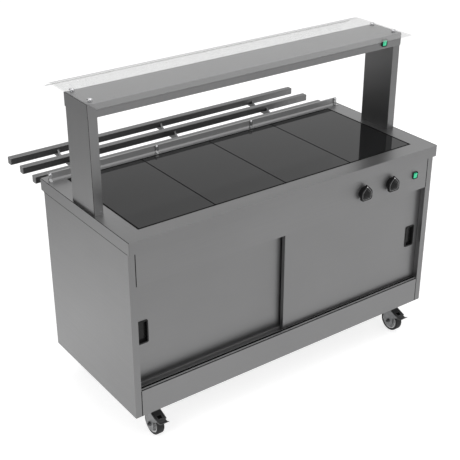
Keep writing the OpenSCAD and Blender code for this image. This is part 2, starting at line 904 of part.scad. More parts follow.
// Wire guard under the tubes, hooked to the housing's front and rear edges
module tube_guard() {
    y0 = gantry_front + sheet + fit;
    y1 = gantry_front + gantry_d - sheet - fit;
    z = shelf_under + guard_wire / 2;
    x1 = post_in - 2 * guard_wire;
    color("gainsboro") placed() {
        for (k = [0:guard_wires - 1])
            translate([0, y0 + guard_wire + k * (y1 - y0 - 2 * guard_wire) / (guard_wires - 1), z])
                bar_x(guard_wire / 2, 2 * x1);
        for (k = [0:guard_cross - 1])
            translate([x1 * (2 * k / (guard_cross - 1) - 1), 0, z])
                slab(-guard_wire / 2, guard_wire / 2, y0, y1, -guard_wire / 2, guard_wire / 2);
    }
}

// Places of the four standoffs on the overshelf
module at_standoffs() {
    for (s = [-1, 1], y = [gantry_front + standoff_in[0], gantry_front + gantry_d - standoff_in[1]])
        translate([s * (gantry_x - standoff_in[0]), y, 0]) children();
}

// Standoffs: spacer, shank through the sheet, and a domed cap
module guard_standoffs() {
    color("gainsboro") placed() at_standoffs() translate([0, 0, gantry_z]) rotate_extrude() {
        patch(0, standoff_spacer / 2, 0, guard_gap);
        patch(0, guard_hole / 2 - fit, 0, guard_gap + guard_t + cut);
        translate([0, guard_gap + guard_t]) intersection() {
            patch(0, cap_d / 2, 0, cap_h);
            translate([0, cap_h - cap_d]) circle(cap_d);
        }
    }
}

// Clear guard: flat over the overshelf, then bent down behind it in one sheet
module clear_guard() {
    z1 = guard_z + guard_t;
    zc = z1 - guard_r;
    color("lightcyan", 0.3) placed() difference() {
        along_x(-gantry_x, gantry_x) {
            patch(guard_front, guard_bend_y, guard_z, z1);
            intersection() {
                translate([guard_bend_y, zc]) difference() {
                    circle(guard_r, $fn = 96);
                    circle(guard_r - guard_t, $fn = 96);
                }
                patch(guard_bend_y, guard_bend_y + guard_r, zc, z1);
            }
            patch(guard_bend_y + guard_r - guard_t, guard_bend_y + guard_r, zc - guard_drop, zc);
        }
        at_standoffs() translate([0, 0, guard_z - cut]) cylinder(d = guard_hole, h = guard_t + 2 * cut);
    }
}

// Places of the four upstand brackets
module at_upstand() {
    for (i = [-1.5, -0.5, 0.5, 1.5])
        translate([i * (upstand_l - upstand_bracket[0]) / 3, upstand_y, counter_h]) children();
}

// Upstand strip along the rear of the counter
module rear_upstand() {
    y0 = upstand_y + upstand_bracket[1];
    z0 = counter_h + upstand_gap;
    color("silver") placed() along_x(-upstand_l / 2, upstand_l / 2) {
        patch(y0, y0 + sheet, z0, z0 + upstand_h);
        patch(y0, y0 + 4 * sheet, z0 + upstand_h - sheet, z0 + upstand_h);
    }
}

// Brackets that hold the strip, each with a foot and a button screw
module upstand_brackets() {
    w = upstand_bracket[0];
    color("gainsboro") placed() at_upstand() {
        slab(-w / 2, w / 2, upstand_bracket[1] - 2 * sheet, upstand_bracket[1], 0, upstand_bracket[2]);
        slab(-w / 2, w / 2, -foot_l, upstand_bracket[1], 0, sheet);
        translate([0, upstand_bracket[1] - 2 * sheet, upstand_screw_z]) rotate([90, 0, 0])
            cylinder(d1 = upstand_screw_d, d2 = upstand_screw_d / 2, h = upstand_bracket[1] / 2);
    }
}

// Caster coordinates: swivel axis at the origin, wheel towards -y for the front pair
module at_caster(i) {
    placed() translate([caster_side[i] * caster_x, caster_y[i], 0])
        rotate([0, 0, caster_turn[i]]) children();
}

// Caster mounting plates with their races and king pins
module caster_plates() {
    z1 = caster_h - plate_size[2];
    color("silver") for (i = [0:3]) at_caster(i) {
        difference() {
            translate([0, 0, z1]) linear_extrude(plate_size[2])
                rounded(plate_size[0], plate_size[1], plate_hole_d);
            for (x = [-1, 1], y = [-1, 1])
                translate([x * plate_hole_pitch[0] / 2, y * plate_hole_pitch[1] / 2, z1 - cut])
                    cylinder(d = plate_hole_d, h = plate_size[2] + 2 * cut);
        }
        translate([0, 0, z1 - race_h]) cylinder(r1 = race_r - race_h / 2, r2 = race_r, h = race_h);
        translate([0, 0, crown_z - king_nut_h]) cylinder(r = king_r, h = z1 - crown_z + king_nut_h);
        translate([0, 0, crown_z - fit - king_nut_h]) cylinder(r = king_nut_r, h = king_nut_h);
    }
}

// Fork leg outline in (y, z): a disc round the axle and a wing beside the pedal
module leg_outline() {
    translate([-trail, wheel_r]) {
        polygon([for (p = leg_shares) [-p[0] * leg_wing, p[1] * leg_h]]);
        circle(leg_r);
    }
}

// Fork: crown round the king pin, two legs and the brake's pin; the axle bolt lies in it
module caster_fork() {
    out = leg_in + leg_t;
    color("darkgray") {
        difference() {
            union() {
                for (s = [-1, 1]) mirror([s > 0 ? 1 : 0, 0, 0]) along_x(-out, -leg_in) leg_outline();
                slab(-out, out, -crown_r, leg_back, crown_z, crown_z + crown_t);
                translate([0, 0, crown_z]) cylinder(r = crown_r, h = crown_t);
                translate([0, 0, crown_z]) cylinder(r = king_r + 2 * crown_t, h = crown_top - crown_z);
                translate([0, -pedal_pin_out, pedal_pin_z]) bar_x(pedal_pin_r, 2 * out);
            }
            translate([0, 0, crown_z - cut]) cylinder(r = king_r + run, h = crown_top - crown_z + 2 * cut);
            translate([0, -trail, wheel_r]) bar_x(axle_d / 2 + run, 2 * out + 2 * cut);
        }
        translate([0, -trail, wheel_r]) {
            bar_x(axle_d / 2, 2 * out + 2 * axle_head_h);
            for (s = [-1, 1]) translate([s * (out + fit + axle_head_h / 2), 0, 0])
                rotate([0, 90, 0]) cylinder(r = axle_head_r, h = axle_head_h, center = true, $fn = 6);
        }
    }
}

// Wheel centre: hub, web and rim, with the running bore
module caster_hub() {
    rim = wheel_r - tyre_t - run;
    half = leg_in - fit - run;
    color("lightgray") translate([0, -trail, wheel_r]) rotate([0, 90, 0]) rotate_extrude() {
        patch(axle_d / 2 + run, hub_core_r, -half, half);
        patch(hub_core_r - hub_rim_t, rim, -hub_web / 2, hub_web / 2);
        patch(rim - hub_rim_t, rim, -wheel_w / 2 + hub_rim_in, wheel_w / 2 - hub_rim_in);
    }
}

// Tyre with rounded shoulders
module caster_tyre() {
    half = wheel_w / 2;
    inner = wheel_r - tyre_t;
    color("black") translate([0, -trail, wheel_r]) rotate([0, 90, 0]) rotate_extrude($fn = 96) {
        patch(inner, wheel_r - tyre_round, -half, half);
        patch(inner, wheel_r, -half + tyre_round, half - tyre_round);
        intersection() {
            patch(inner, wheel_r, -half, half);
            for (s = [-1, 1])
                translate([wheel_r - tyre_round, s * (half - tyre_round)]) circle(tyre_round);
        }
    }
}

// Pedal outline in (y, z), from shares of its length and its rise
module pedal_outline(shares) {
    polygon([for (p = shares) [-pedal_pin_out - p[0] * pedal_l, pedal_pin_z + p[1] * pedal_rise]]);
}

// Brake pedal: humped cap over the tyre, a tongue that turns up at the tip, and a pocket on top
module caster_pedal() {
    color("black") difference() {
        along_x(-pedal_w / 2, pedal_w / 2) pedal_outline(pedal_shares);
        along_x(-pedal_pocket_w / 2, pedal_pocket_w / 2) pedal_outline(pocket_shares);
        translate([0, -pedal_pin_out, pedal_pin_z]) bar_x(pedal_pin_r + run, pedal_w + 2 * cut);
    }
}

module caster_fl_fork() { at_caster(0) caster_fork(); }
module caster_fr_fork() { at_caster(1) caster_fork(); }
module caster_rl_fork() { at_caster(2) caster_fork(); }
module caster_rr_fork() { at_caster(3) caster_fork(); }
module caster_fl_hub() { at_caster(0) caster_hub(); }
module caster_fr_hub() { at_caster(1) caster_hub(); }
module caster_rl_hub() { at_caster(2) caster_hub(); }
module caster_rr_hub() { at_caster(3) caster_hub(); }
module caster_fl_tyre() { at_caster(0) caster_tyre(); }
module caster_fr_tyre() { at_caster(1) caster_tyre(); }
module caster_rl_tyre() { at_caster(2) caster_tyre(); }
module caster_rr_tyre() { at_caster(3) caster_tyre(); }
module caster_fl_pedal() { at_caster(0) caster_pedal(); }
module caster_fr_pedal() { at_caster(1) caster_pedal(); }
module caster_rl_pedal() { at_caster(2) caster_pedal(); }
module caster_rr_pedal() { at_caster(3) caster_pedal(); }

// Hinge brackets on the back panel: plate, two ears and the pivot pin
module slide_brackets() {
    ear_in = arm_t / 2 + fit;
    z0 = pivot_z - bracket_plate[2] / 2;
    color("silver") placed() for (x = arm_x) translate([x, 0, 0]) {
        difference() {
            slab(-bracket_plate[0] / 2, bracket_plate[0] / 2, body_y1, body_y1 + bracket_plate[1],
                z0, z0 + bracket_plate[2]);
            for (s = [-1, 1], v = [-1, 1])
                translate([s * bracket_plate[0] / 3, body_y1 - cut, pivot_z + v * bracket_screw_pitch / 2])
                    rotate([-90, 0, 0]) cylinder(d = bracket_screw_d, h = bracket_plate[1] + 2 * cut);
        }
        for (s = [0, 1]) mirror([s, 0, 0]) along_x(ear_in, ear_in + ear_t) {
            polygon([[body_y1, pivot_z - 2 * boss_r], [pivot_y, pivot_z - boss_r],
                [pivot_y, pivot_z + boss_r], [body_y1, pivot_z + 2 * boss_r]]);
            translate([pivot_y, pivot_z]) circle(boss_r);
        }
        translate([0, pivot_y, pivot_z]) bar_x(pivot_d / 2, 2 * (ear_in + ear_t));
    }
}

// Arm outline in (y, z): tapered blade with a notch for each rail and round valleys between
module arm_outline() {
    top = seat_z + horn_h;
    gap = rail_pitch - rail_s - 2 * fit;
    sink = horn_h + valley_drop;
    valley_r = (gap * gap / 4 + sink * sink) / (2 * sink);
    difference() {
        union() {
            translate([pivot_y, pivot_z]) circle(boss_r);
            polygon([[pivot_y, pivot_z - boss_r], [pivot_y, pivot_z + boss_r],
                [rail_y[0] - horn_w - horn_h, seat_z], [rail_y[0] - horn_w, top],
                [rail_y[rails - 1] + fit, top], [rail_y[rails - 1] + fit, seat_z], [rail_back, seat_z],
                [rail_back, seat_z - arm_tip_h]]);
        }
        for (y = rail_y) patch(y - fit, y + rail_s + fit, seat_z, top + cut);
        for (i = [0:rails - 2])
            translate([rail_y[i] + rail_s + fit + gap / 2, seat_z - valley_drop + valley_r])
                circle(valley_r, $fn = 96);
    }
}

// Tray slide arms: three cut plates, each with its pivot bore
module tray_arms() {
    color("silver") placed() for (x = arm_x) translate([x, 0, 0]) difference() {
        along_x(-arm_t / 2, arm_t / 2) arm_outline();
        translate([0, pivot_y, pivot_z]) bar_x(pivot_d / 2 + run, arm_t + 2 * cut);
    }
}

// Square rails
module tray_rails() {
    l = rail_l - 2 * rail_cap_t;
    color("silver") placed() for (y = rail_y)
        translate([rail_shift, y + rail_s / 2, seat_z + rail_s / 2]) rotate([90, 0, 90])
            linear_extrude(l, center = true) difference() {
                rounded(rail_s, rail_s, rail_corner);
                rounded(rail_s - 2 * rail_wall, rail_s - 2 * rail_wall, rail_corner - rail_wall / 2);
            }
}

// End caps of the rails, with plugs inside the tubes
module rail_caps() {
    s = rail_s - 2 * rail_wall - 2 * fit;
    color("lightgray") placed() for (y = rail_y, side = [0, 1])
        translate([rail_shift, y + rail_s / 2, seat_z + rail_s / 2]) mirror([side, 0, 0])
            rotate([90, 0, 90]) {
                translate([0, 0, rail_l / 2 - rail_cap_t]) linear_extrude(rail_cap_t)
                    rounded(rail_s, rail_s, rail_corner);
                translate([0, 0, rail_l / 2 - rail_cap_t - plug_l]) linear_extrude(plug_l + rail_cap_t / 2)
                    rounded(s, s, rail_corner - rail_wall / 2);
            }
}

// Left door in counter coordinates: double-skinned, with the handle's hole in its front
module door(y) {
    difference() {
        slab(-door_end, door_w - door_end, y, y + door_t, door_z0, door_z1);
        slab(-door_end + door_sheet, door_w - door_end - door_sheet, y + door_sheet,
            y + door_t - door_sheet, door_z0 + door_sheet, door_z1 - door_sheet);
        translate([handle_in - door_end, 0, handle_z])
            along_y(y - cut, y + door_t / 2) rounded(handle_w - 2 * rim_w, handle_h - 2 * rim_w, handle_r);
    }
}

// Recessed handle: black cup with a rim over the door's face and an undercut finger pocket
module handle(y) {
    w = handle_w - 2 * rim_w - 2 * fit;
    h = handle_h - 2 * rim_w - 2 * fit;
    translate([handle_in - door_end, 0, handle_z]) difference() {
        union() {
            along_y(y - handle_rim, y) rounded(handle_w, handle_h, handle_r);
            along_y(y - handle_rim, y + handle_depth - fit) rounded(w, h, handle_r);
        }
        along_y(y - handle_rim - cut, y + handle_depth - fit - cup_wall)
            rounded(w - 2 * cup_wall, h - 2 * cup_wall, handle_r - cup_wall);
    }
}

module left_door() {
    color("silver") placed() door(door_y[1]);
}

module right_door() {
    color("silver") placed() mirror([1, 0, 0]) door(door_y[0]);
}

module left_handle() {
    color("black") placed() handle(door_y[1]);
}

module right_handle() {
    color("black") placed() mirror([1, 0, 0]) handle(door_y[0]);
}

counter_top();
hot_top_tray();
glass_panels();
glass_seal();
heater_units();
left_side_panel();
right_side_panel();
back_panel();
front_plinth();
control_fascia();
chassis();
cabinet_floor();
liner_panels();
cupboard_shelf();
shelf_brackets();
top_door_track();
bottom_door_track();
cupboard_element();
regulators();
switch_bodies();
cable_gland();
left_post();
right_post();
overshelf();
lamp_reflector();
heat_tubes();
tube_guard();
guard_standoffs();
clear_guard();
rear_upstand();
upstand_brackets();
caster_plates();
slide_brackets();
tray_arms();
tray_rails();
rail_caps();
left_door();
right_door();
left_handle();
right_handle();
hot_top_knob();
cupboard_knob();
main_rocker();
lamp_rocker();
caster_fl_fork();
caster_fr_fork();
caster_rl_fork();
caster_rr_fork();
caster_fl_hub();
caster_fr_hub();
caster_rl_hub();
caster_rr_hub();
caster_fl_tyre();
caster_fr_tyre();
caster_rl_tyre();
caster_rr_tyre();
caster_fl_pedal();
caster_fr_pedal();
caster_rl_pedal();
caster_rr_pedal();
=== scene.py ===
# %% [markdown]
# # A mobile heated servery counter
#
# The object is a hot cupboard on casters. Four black glass panels lie in its top, a lit overshelf
# stands over them on two posts, a clear sheet curves down on the customers' side, and a slide of
# three square rails carries their trays. The construction model already holds the folded sheets,
# the doors and every joint, in metres. This lesson dresses that model: it gives each surface a
# finish, and makes again the small pieces that catch the eye.

# %% Load the construction model
import json
import math

import bmesh
import bpy
from mathutils import Matrix, Vector


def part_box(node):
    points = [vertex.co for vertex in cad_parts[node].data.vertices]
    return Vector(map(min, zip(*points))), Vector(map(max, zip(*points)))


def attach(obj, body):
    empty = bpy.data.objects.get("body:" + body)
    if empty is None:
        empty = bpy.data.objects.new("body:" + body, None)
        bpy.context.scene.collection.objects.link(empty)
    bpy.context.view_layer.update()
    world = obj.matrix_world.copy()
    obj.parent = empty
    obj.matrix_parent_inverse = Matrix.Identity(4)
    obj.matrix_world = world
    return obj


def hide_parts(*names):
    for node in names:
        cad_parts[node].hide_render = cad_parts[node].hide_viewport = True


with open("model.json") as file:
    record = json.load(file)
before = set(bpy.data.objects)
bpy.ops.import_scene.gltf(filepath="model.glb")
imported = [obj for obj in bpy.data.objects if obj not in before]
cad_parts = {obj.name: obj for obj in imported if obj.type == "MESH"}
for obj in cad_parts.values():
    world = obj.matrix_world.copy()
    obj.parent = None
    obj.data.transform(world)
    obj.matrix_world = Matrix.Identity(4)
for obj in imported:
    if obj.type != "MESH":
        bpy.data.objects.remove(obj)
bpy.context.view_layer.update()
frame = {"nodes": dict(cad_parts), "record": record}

# %% [markdown]
# ## A maker's way of giving places
#
# A sheet-metal maker measures from the front edge and the middle of the top, and up from the floor,
# in millimetres. The scene measures in metres from the middle of the floor. One small function
# turns the first into the second, so that every later cell can use the maker's numbers.

# %% Places in millimetres
top_low, top_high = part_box("counter_top")
middle_x = (top_low.x + top_high.x) / 2
front_y = top_low.y
working_height = top_high.z * 1000


def place(x, y, z):
    """A place in millimetres from the middle of the top's front edge and up from the floor."""
    return Vector((middle_x + x / 1000, front_y + y / 1000, z / 1000))


def corners(node):
    """A node's lowest and highest corners in the maker's millimetres."""
    shift = Vector((middle_x, front_y, 0))
    return [(corner - shift) * 1000 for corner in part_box(node)]


def pivot(joint):
    """The middle of a hinge in the maker's millimetres."""
    row = [j for j in frame["record"]["behaviour"]["joints"] if j["name"] == joint][0]
    return (Vector(row["pos_m"]) - Vector((middle_x, front_y, 0))) * 1000


top_corners = [[round(v) for v in corner] for corner in corners("counter_top")]
print("top from", *top_corners)

# %% [markdown]
# ## The camera
#
# A catalogue photograph of a long counter is taken from above one end with a fairly long lens, so
# that the sides stay nearly parallel. The place, the direction and the angle of view were found by
# fitting a pinhole to forty corners of the real thing, so the numbers are typed in as they came out.


# %% Camera
def into_scene(name, data):
    """Make an object from its data and put it into the scene."""
    made = bpy.data.objects.new(name, data)
    bpy.context.scene.collection.objects.link(made)
    return made


def aim(thing, direction):
    """Turn a camera or a lamp to look along a direction."""
    thing.rotation_euler = direction.to_track_quat("-Z", "Y").to_euler()


camera_data = bpy.data.cameras.new("catalogue_camera")
camera_data.sensor_fit = "HORIZONTAL"
camera_data.angle = math.radians(25.768)
camera = into_scene("catalogue_camera", camera_data)
camera.location = place(-2243.1, -2655.7, 2518.1)
aim(camera, Vector((0.52063, 0.71994, -0.45895)))
bpy.context.scene.camera = camera
print("camera at", [round(v, 3) for v in camera.location])

# %% [markdown]
# ## Studio: white surroundings, soft boxes and a dark flag
#
# Satin steel has hardly any colour of its own: it shows the room. The room here is plain white, and
# three large soft boxes give the sides of the counter their different greys. A narrow fourth one
# stands low on the right, where the round edges of knobs and screws mirror it as bright lines. A
# photographer also hangs a black flag where folded edges look, so that they are drawn as fine dark
# lines. The world is white for the camera and for reflections, and a little lower for the light that
# falls on matt things. The world and every finish are trees of shader nodes, so three small
# functions for nodes come first.


# %% Helpers for shader nodes
def fill(tree, node, *values, **named):
    """Give a node's sockets their values, in order or by name, with _ for a space."""
    sockets = list(zip(node.inputs, values))
    sockets += [(node.inputs[name.replace("_", " ")], value) for name, value in named.items()]
    for socket, value in sockets:
        if isinstance(value, bpy.types.NodeSocket):
            tree.links.new(value, socket)
        else:
            socket.default_value = value


def add_node(tree, kind, *values, **named):
    """Add a shader node and fill its sockets."""
    node = tree.nodes.new("ShaderNode" + kind)
    fill(tree, node, *values, **named)
    return node


def worked_out(tree, operation, first, second):
    """The result of a sum, a product or the like of two values."""
    node = add_node(tree, "Math", first, second)
    node.operation = operation
    return node.outputs[0]


# %% World
MATT_LEVEL = 0.7
world = bpy.data.worlds.new("white_studio")
world.use_nodes = True
bpy.context.scene.world = world
world_tree = world.node_tree
rays = add_node(world_tree, "LightPath").outputs
seen = worked_out(world_tree, "MAXIMUM", rays["Is Camera Ray"], rays["Is Glossy Ray"])
seen = worked_out(world_tree, "MAXIMUM", seen, rays["Is Transmission Ray"])
level = add_node(world_tree, "MapRange", seen, To_Min=MATT_LEVEL, To_Max=1.0)
fill(world_tree, world_tree.nodes["Background"], (1, 1, 1, 1), level.outputs["Result"])
bpy.context.scene.view_settings.view_transform = "Standard"
print("world level for matt things:", MATT_LEVEL)


# %% Soft boxes
def soft_box(name, position, target, width, height, watts):
    """A rectangular lamp that points at a place on the counter."""
    data = bpy.data.lights.new(name, "AREA")
    data.shape = "RECTANGLE"
    data.size = width
    data.size_y = height
    data.energy = watts
    lamp = into_scene(name, data)
    lamp.location = place(*position)
    aim(lamp, place(*target) - lamp.location)


soft_box("left_soft_box", (-3200, -600, 2300), (0, 300, 600), 2.2, 1.6, 32)
soft_box("front_soft_box", (900, -3400, 2600), (0, 300, 600), 2.6, 1.6, 26)
soft_box("top_soft_box", (300, 400, 3600), (0, 300, 900), 3.0, 2.0, 28)
soft_box("right_strip_light", (2700, -500, 500), (400, -100, 800), 0.3, 1.1, 6)

# %% [markdown]
# ## Small helpers for pieces and node materials
#
# Each new piece starts as a bmesh, which is Blender's editable mesh in memory. The helpers below
# make the shapes that come back again and again: a block between two corners, a turned shape that
# is spun from a profile, a plate with round corners, and soft edges. Others pick edges, or move and
# turn what was made. The last one ends each piece: it writes the mesh to an object at the origin,
# shades it, names its finish and lets it ride on its body.


# %% Helpers that move and pick
def move(mesh, verts, step):
    """Push vertices along a step."""
    bmesh.ops.translate(mesh, vec=step, verts=verts)


def swing(mesh, verts, angle, axis):
    """Turn vertices about an axis through the origin."""
    bmesh.ops.rotate(mesh, verts=verts, cent=(0, 0, 0), matrix=Matrix.Rotation(angle, 3, axis))


def only_verts(geometry):
    """The vertices in a mixed list."""
    return [g for g in geometry if isinstance(g, bmesh.types.BMVert)]


def verts_of(faces):
    """All vertices of the given faces."""
    return list({vert for face in faces for vert in face.verts})


def edges_of(verts):
    """All edges that meet the given vertices."""
    return list({edge for vert in verts for edge in vert.link_edges})


def above(edges, height):
    """The edges that lie above a height."""
    return [e for e in edges if all(v.co.z > height for v in e.verts)]


def deep(edges):
    """The edges that run from front to back."""
    return [e for e in edges if abs(e.verts[0].co.y - e.verts[1].co.y) > 1]


def sharp(edges, angle):
    """The edges whose faces meet at more than an angle."""
    return [e for e in edges if e.calc_face_angle(0) > angle]


def grown(verts):
    """The given vertices and everything joined to them."""
    found, front = set(verts), list(verts)
    while front:
        vert = front.pop()
        for edge in vert.link_edges:
            other = edge.other_vert(vert)
            if other not in found:
                found.add(other)
                front.append(other)
    return list(found)


def spaced(start, end, count):
    """Even places from start to end."""
    return [start + k * (end - start) / (count - 1) for k in range(count)]


# %% Helpers that shape
def block(mesh, corner, opposite):
    """A box between two opposite corners in the maker's millimetres, from a unit cube."""
    low, high = (Vector([pick(pair) for pair in zip(corner, opposite)]) for pick in (min, max))
    made = bmesh.ops.create_cube(mesh, size=1)["verts"]
    bmesh.ops.scale(mesh, vec=high - low, verts=made)
    move(mesh, made, (low + high) / 2)
    return made


def drum(mesh, sides, radius, height):
    """An upright round or many-sided block about the origin."""
    return bmesh.ops.create_cone(mesh, cap_ends=True, segments=sides, radius1=radius, radius2=radius,
                                 depth=height)["verts"]


def soften(mesh, edges, radius, steps=2):
    """Round the given edges."""
    return bmesh.ops.bevel(mesh, geom=edges, offset=radius, offset_type="OFFSET", segments=steps,
                           profile=0.5, affect="EDGES", material=-1, clamp_overlap=True)


def round_plate(mesh, corner, opposite, radius, steps):
    """A plate that faces the front and has round corners."""
    soften(mesh, deep(edges_of(block(mesh, corner, opposite))), radius, steps)


def drawn(mesh, faces, insets, push):
    """Inset faces by each pair of width and depth, then push them along Y."""
    for thickness, depth in insets:
        bmesh.ops.inset_region(mesh, faces=faces, thickness=thickness, depth=depth)
    move(mesh, verts_of(faces), (0, push, 0))


QUARTER = math.pi / 2
TURN_TO = {"X": (QUARTER, "Y"), "Y": (-QUARTER, "X"), "-Y": (QUARTER, "X")}


def turned(mesh, profile, centre=(0, 0, 0), axis="Z", steps=32):
    """Spin a profile of (radius, height) pairs round an axis through centre."""
    verts = [mesh.verts.new((radius, 0, height)) for radius, height in profile]
    edges = [mesh.edges.new(pair) for pair in zip(verts, verts[1:])]
    made = bmesh.ops.spin(mesh, geom=verts + edges, cent=(0, 0, 0), axis=(0, 0, 1),
                          angle=math.tau, steps=steps, use_merge=True)
    ring = set(verts) | set(only_verts(made["geom_last"]))
    shape = grown([vert for vert in ring if vert.is_valid])
    if axis in TURN_TO:
        swing(mesh, shape, *TURN_TO[axis])
    move(mesh, shape, centre)
    return shape


# %% Helpers that end a piece
def to_object(name, mesh, finish):
    """Write a bmesh to an object at the origin and give it its finish."""
    data = bpy.data.meshes.new(name)
    mesh.to_mesh(data)
    mesh.free()
    data.materials.append(finish.material)
    return into_scene(name, data)


def finished(name, mesh, body, finish, smooth=38):
    """Close a bmesh into a piece that rides on a body, shaded smooth up to an angle."""
    bmesh.ops.remove_doubles(mesh, verts=mesh.verts, dist=0.002)
    bmesh.ops.recalc_face_normals(mesh, faces=mesh.faces)
    for vert in mesh.verts:
        vert.co = place(*vert.co)
    piece = to_object(name, mesh, finish)
    piece.data.shade_smooth()
    piece.data.set_sharp_from_angle(angle=math.radians(smooth))
    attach(piece, body)
    print(name, "faces:", len(piece.data.polygons))
    return piece


# %% Helpers for materials
class Finish:
    """A node material with one Principled shader and object coordinates."""

    def __init__(self, name, colour, roughness, **sockets):
        self.material = bpy.data.materials.new(name)
        self.material.use_nodes = True
        self.tree = self.material.node_tree
        self.shader = self.tree.nodes["Principled BSDF"]
        self.coordinates = self.node("TexCoord").outputs["Object"]
        self.shade(Base_Color=(*colour, 1), Roughness=roughness, **sockets)

    def node(self, kind, *values, **named):
        """Add a node to the finish."""
        return add_node(self.tree, kind, *values, **named)

    def shade(self, **sockets):
        """Give the Principled shader's sockets their values."""
        fill(self.tree, self.shader, **sockets)

    def surface(self, kind, *values):
        """Show a mix or a sum of shaders in place of the Principled one alone."""
        fill(self.tree, self.tree.nodes["Material Output"], self.node(kind, *values).outputs[0])

    def result(self, operation, first, second):
        """The result of a sum, a product or the like in the finish."""
        return worked_out(self.tree, operation, first, second)

    def noise(self, scale, stretch=(1, 1, 1), detail=3.0):
        """Noise on object coordinates, stretched along an axis."""
        mapping = self.node("Mapping", self.coordinates, Scale=stretch)
        return self.node("TexNoise", mapping.outputs["Vector"], Scale=scale, Detail=detail).outputs["Fac"]

    def falloff(self, centre, radius):
        """A value that falls from one at a centre to nothing at a radius."""
        spread = self.node("Mapping", self.coordinates, Location=centre, Scale=(radius,) * 3)
        spread.vector_type = "TEXTURE"
        ball = self.node("TexGradient", spread.outputs["Vector"])
        ball.gradient_type = "SPHERICAL"
        return ball.outputs["Fac"]

    def between(self, value, low, high, start=0.3, end=0.7):
        """Map a value from one range of numbers to another."""
        return self.node("MapRange", value, start, end, low, high).outputs["Result"]

    def tint(self, value, first, second, start=0.3, end=0.7):
        """Let the colour wander between two colours, and hand back the ramp's stops."""
        ramp = self.node("ValToRGB", value)
        stops = ramp.color_ramp.elements
        for stop, position, colour in zip(stops, (start, end), (first, second)):
            stop.position = position
            stop.color = (*colour, 1)
        self.shade(Base_Color=ramp.outputs["Color"])
        return stops

    def rough(self, value, low, high):
        """Let the roughness wander."""
        self.shade(Roughness=self.between(value, low, high))

    def relief(self, value, depth):
        """Raise the surface by a noise, to a depth in metres."""
        self.shade(Normal=self.node("Bump", Distance=depth, Height=value).outputs["Normal"])


def dress(node, finish):
    """Give a construction node its material."""
    data = frame["nodes"][node].data
    data.materials.clear()
    data.materials.append(finish.material)


def shaded(mix, amount):
    """A colour times a number."""
    return tuple(channel * amount for channel in mix)


print("helpers ready")

# %% [markdown]
# ## Satin stainless steel
#
# The sheets come from the mill with a fine brushed grain that runs along the length of each sheet,
# and they are folded with the grain, so it lies along X on the fronts and along Y on the ends. The
# grain is a noise stretched some hundreds of times. It wanders the roughness a little and gives a
# relief of a few thousandths of a millimetre. A second, large noise gives the faint clouds that
# cleaning leaves behind. The ledge under the doors is the same steel, rougher and painted twice as
# pale, which is a painted light. A ramp along Y paints shade on it: it keeps its front strip pale,
# falls to dark where the groove begins, a painted shadow of the groove, and grows paler again
# towards its back. Several other parts get paler or darker copies of the steel as well, which are
# painted light and painted shade.

# %% Satin steel
STEEL = (0.222, 0.222, 0.2235)
LEDGE_FRONT, LEDGE_BACK, GROOVE_SHADE_SHARE = 38.5, 67.0, 0.04


def satin_steel(name, grain, shade=1.0, roughness=(0.33, 0.41)):
    """Brushed steel whose grain runs along the axis given as 'X', 'Y' or 'Z'."""
    finish = Finish(name, shaded(STEEL, shade), sum(roughness) / 2, Metallic=1.0)
    stretch = {"X": (4, 900, 900), "Y": (900, 4, 900), "Z": (900, 900, 4)}[grain]
    lines = finish.noise(1.0, stretch, 2.0)
    clouds = finish.noise(2.6)
    finish.tint(clouds, shaded(STEEL, shade * 0.975), shaded(STEEL, shade * 1.025))
    finish.rough(lines, *roughness)
    finish.relief(lines, 0.000004)
    return finish


steel_x = satin_steel("satin_steel_along_x", "X")
steel_y = satin_steel("satin_steel_along_y", "Y")
# The fascia and the plinth get paler copies of the steel: painted light. The fascia's higher roughness is
# its own.
dress("control_fascia", satin_steel("satin_fascia_painted_light", "X", 1.07, (0.46, 0.54)))
dress("front_plinth", satin_steel("satin_plinth_painted_light", "X", 1.05))
for node in ("counter_top", "back_panel", "overshelf", "left_door", "right_door", "top_door_track"):
    dress(node, steel_x)
for node in ("left_side_panel", "right_side_panel", "slide_brackets", "rail_caps"):
    dress(node, steel_y)
# The tray arms and the rails get darker copies of the steel: painted shade.
dress("tray_arms", satin_steel("arm_steel_painted_shade", "Y", 0.62))
dress("tray_rails", satin_steel("rail_steel_painted_shade", "X", 0.67))
# Painted light and shade on the ledge: twice as pale as the steel, with a ramp along Y that paints the
# groove's shadow.
track = satin_steel("ledge_steel_painted_light_and_shade", "X", 2.0, (0.55, 0.68))
depth = track.node("SeparateXYZ", track.coordinates).outputs["Y"]
groove = track.between(depth, 0.0, 1.0, place(0, LEDGE_FRONT, 0).y, place(0, LEDGE_BACK, 0).y)
ledge_shade_stops = track.tint(groove, shaded(STEEL, 2.0), shaded(STEEL, 1.15), 0.0, 1.0)
ledge_shade_stops.new(GROOVE_SHADE_SHARE).color = (*shaded(STEEL, 0.45), 1)
dress("bottom_door_track", track)
# The strip at the back gets a paler copy of the steel: painted light. Its higher roughness is its own.
dress("rear_upstand", satin_steel("strip_steel_painted_light", "X", 1.5, (0.5, 0.62)))
# The left post gets a paler copy of the steel, painted light, and the right post a darker one, painted
# shade.
dress("left_post", satin_steel("satin_left_post_painted_light", "Z", 1.02))
dress("right_post", satin_steel("satin_right_post_painted_shade", "Z", 0.86))
print("steel finishes:", steel_x.material.name, steel_y.material.name)

# %% [markdown]
# ## Black ceramic glass and its seal
#
# The hot top is glass ceramic: nearly black, smooth enough to mirror the post behind it, and
# scattered with very fine dots that hide the heaters. The panels are set in black silicone, which
# is matt. It fills the joints and is wiped off as a shallow bead, so it shows as thin lines: each
# line is a bar whose upper edges are rounded over.

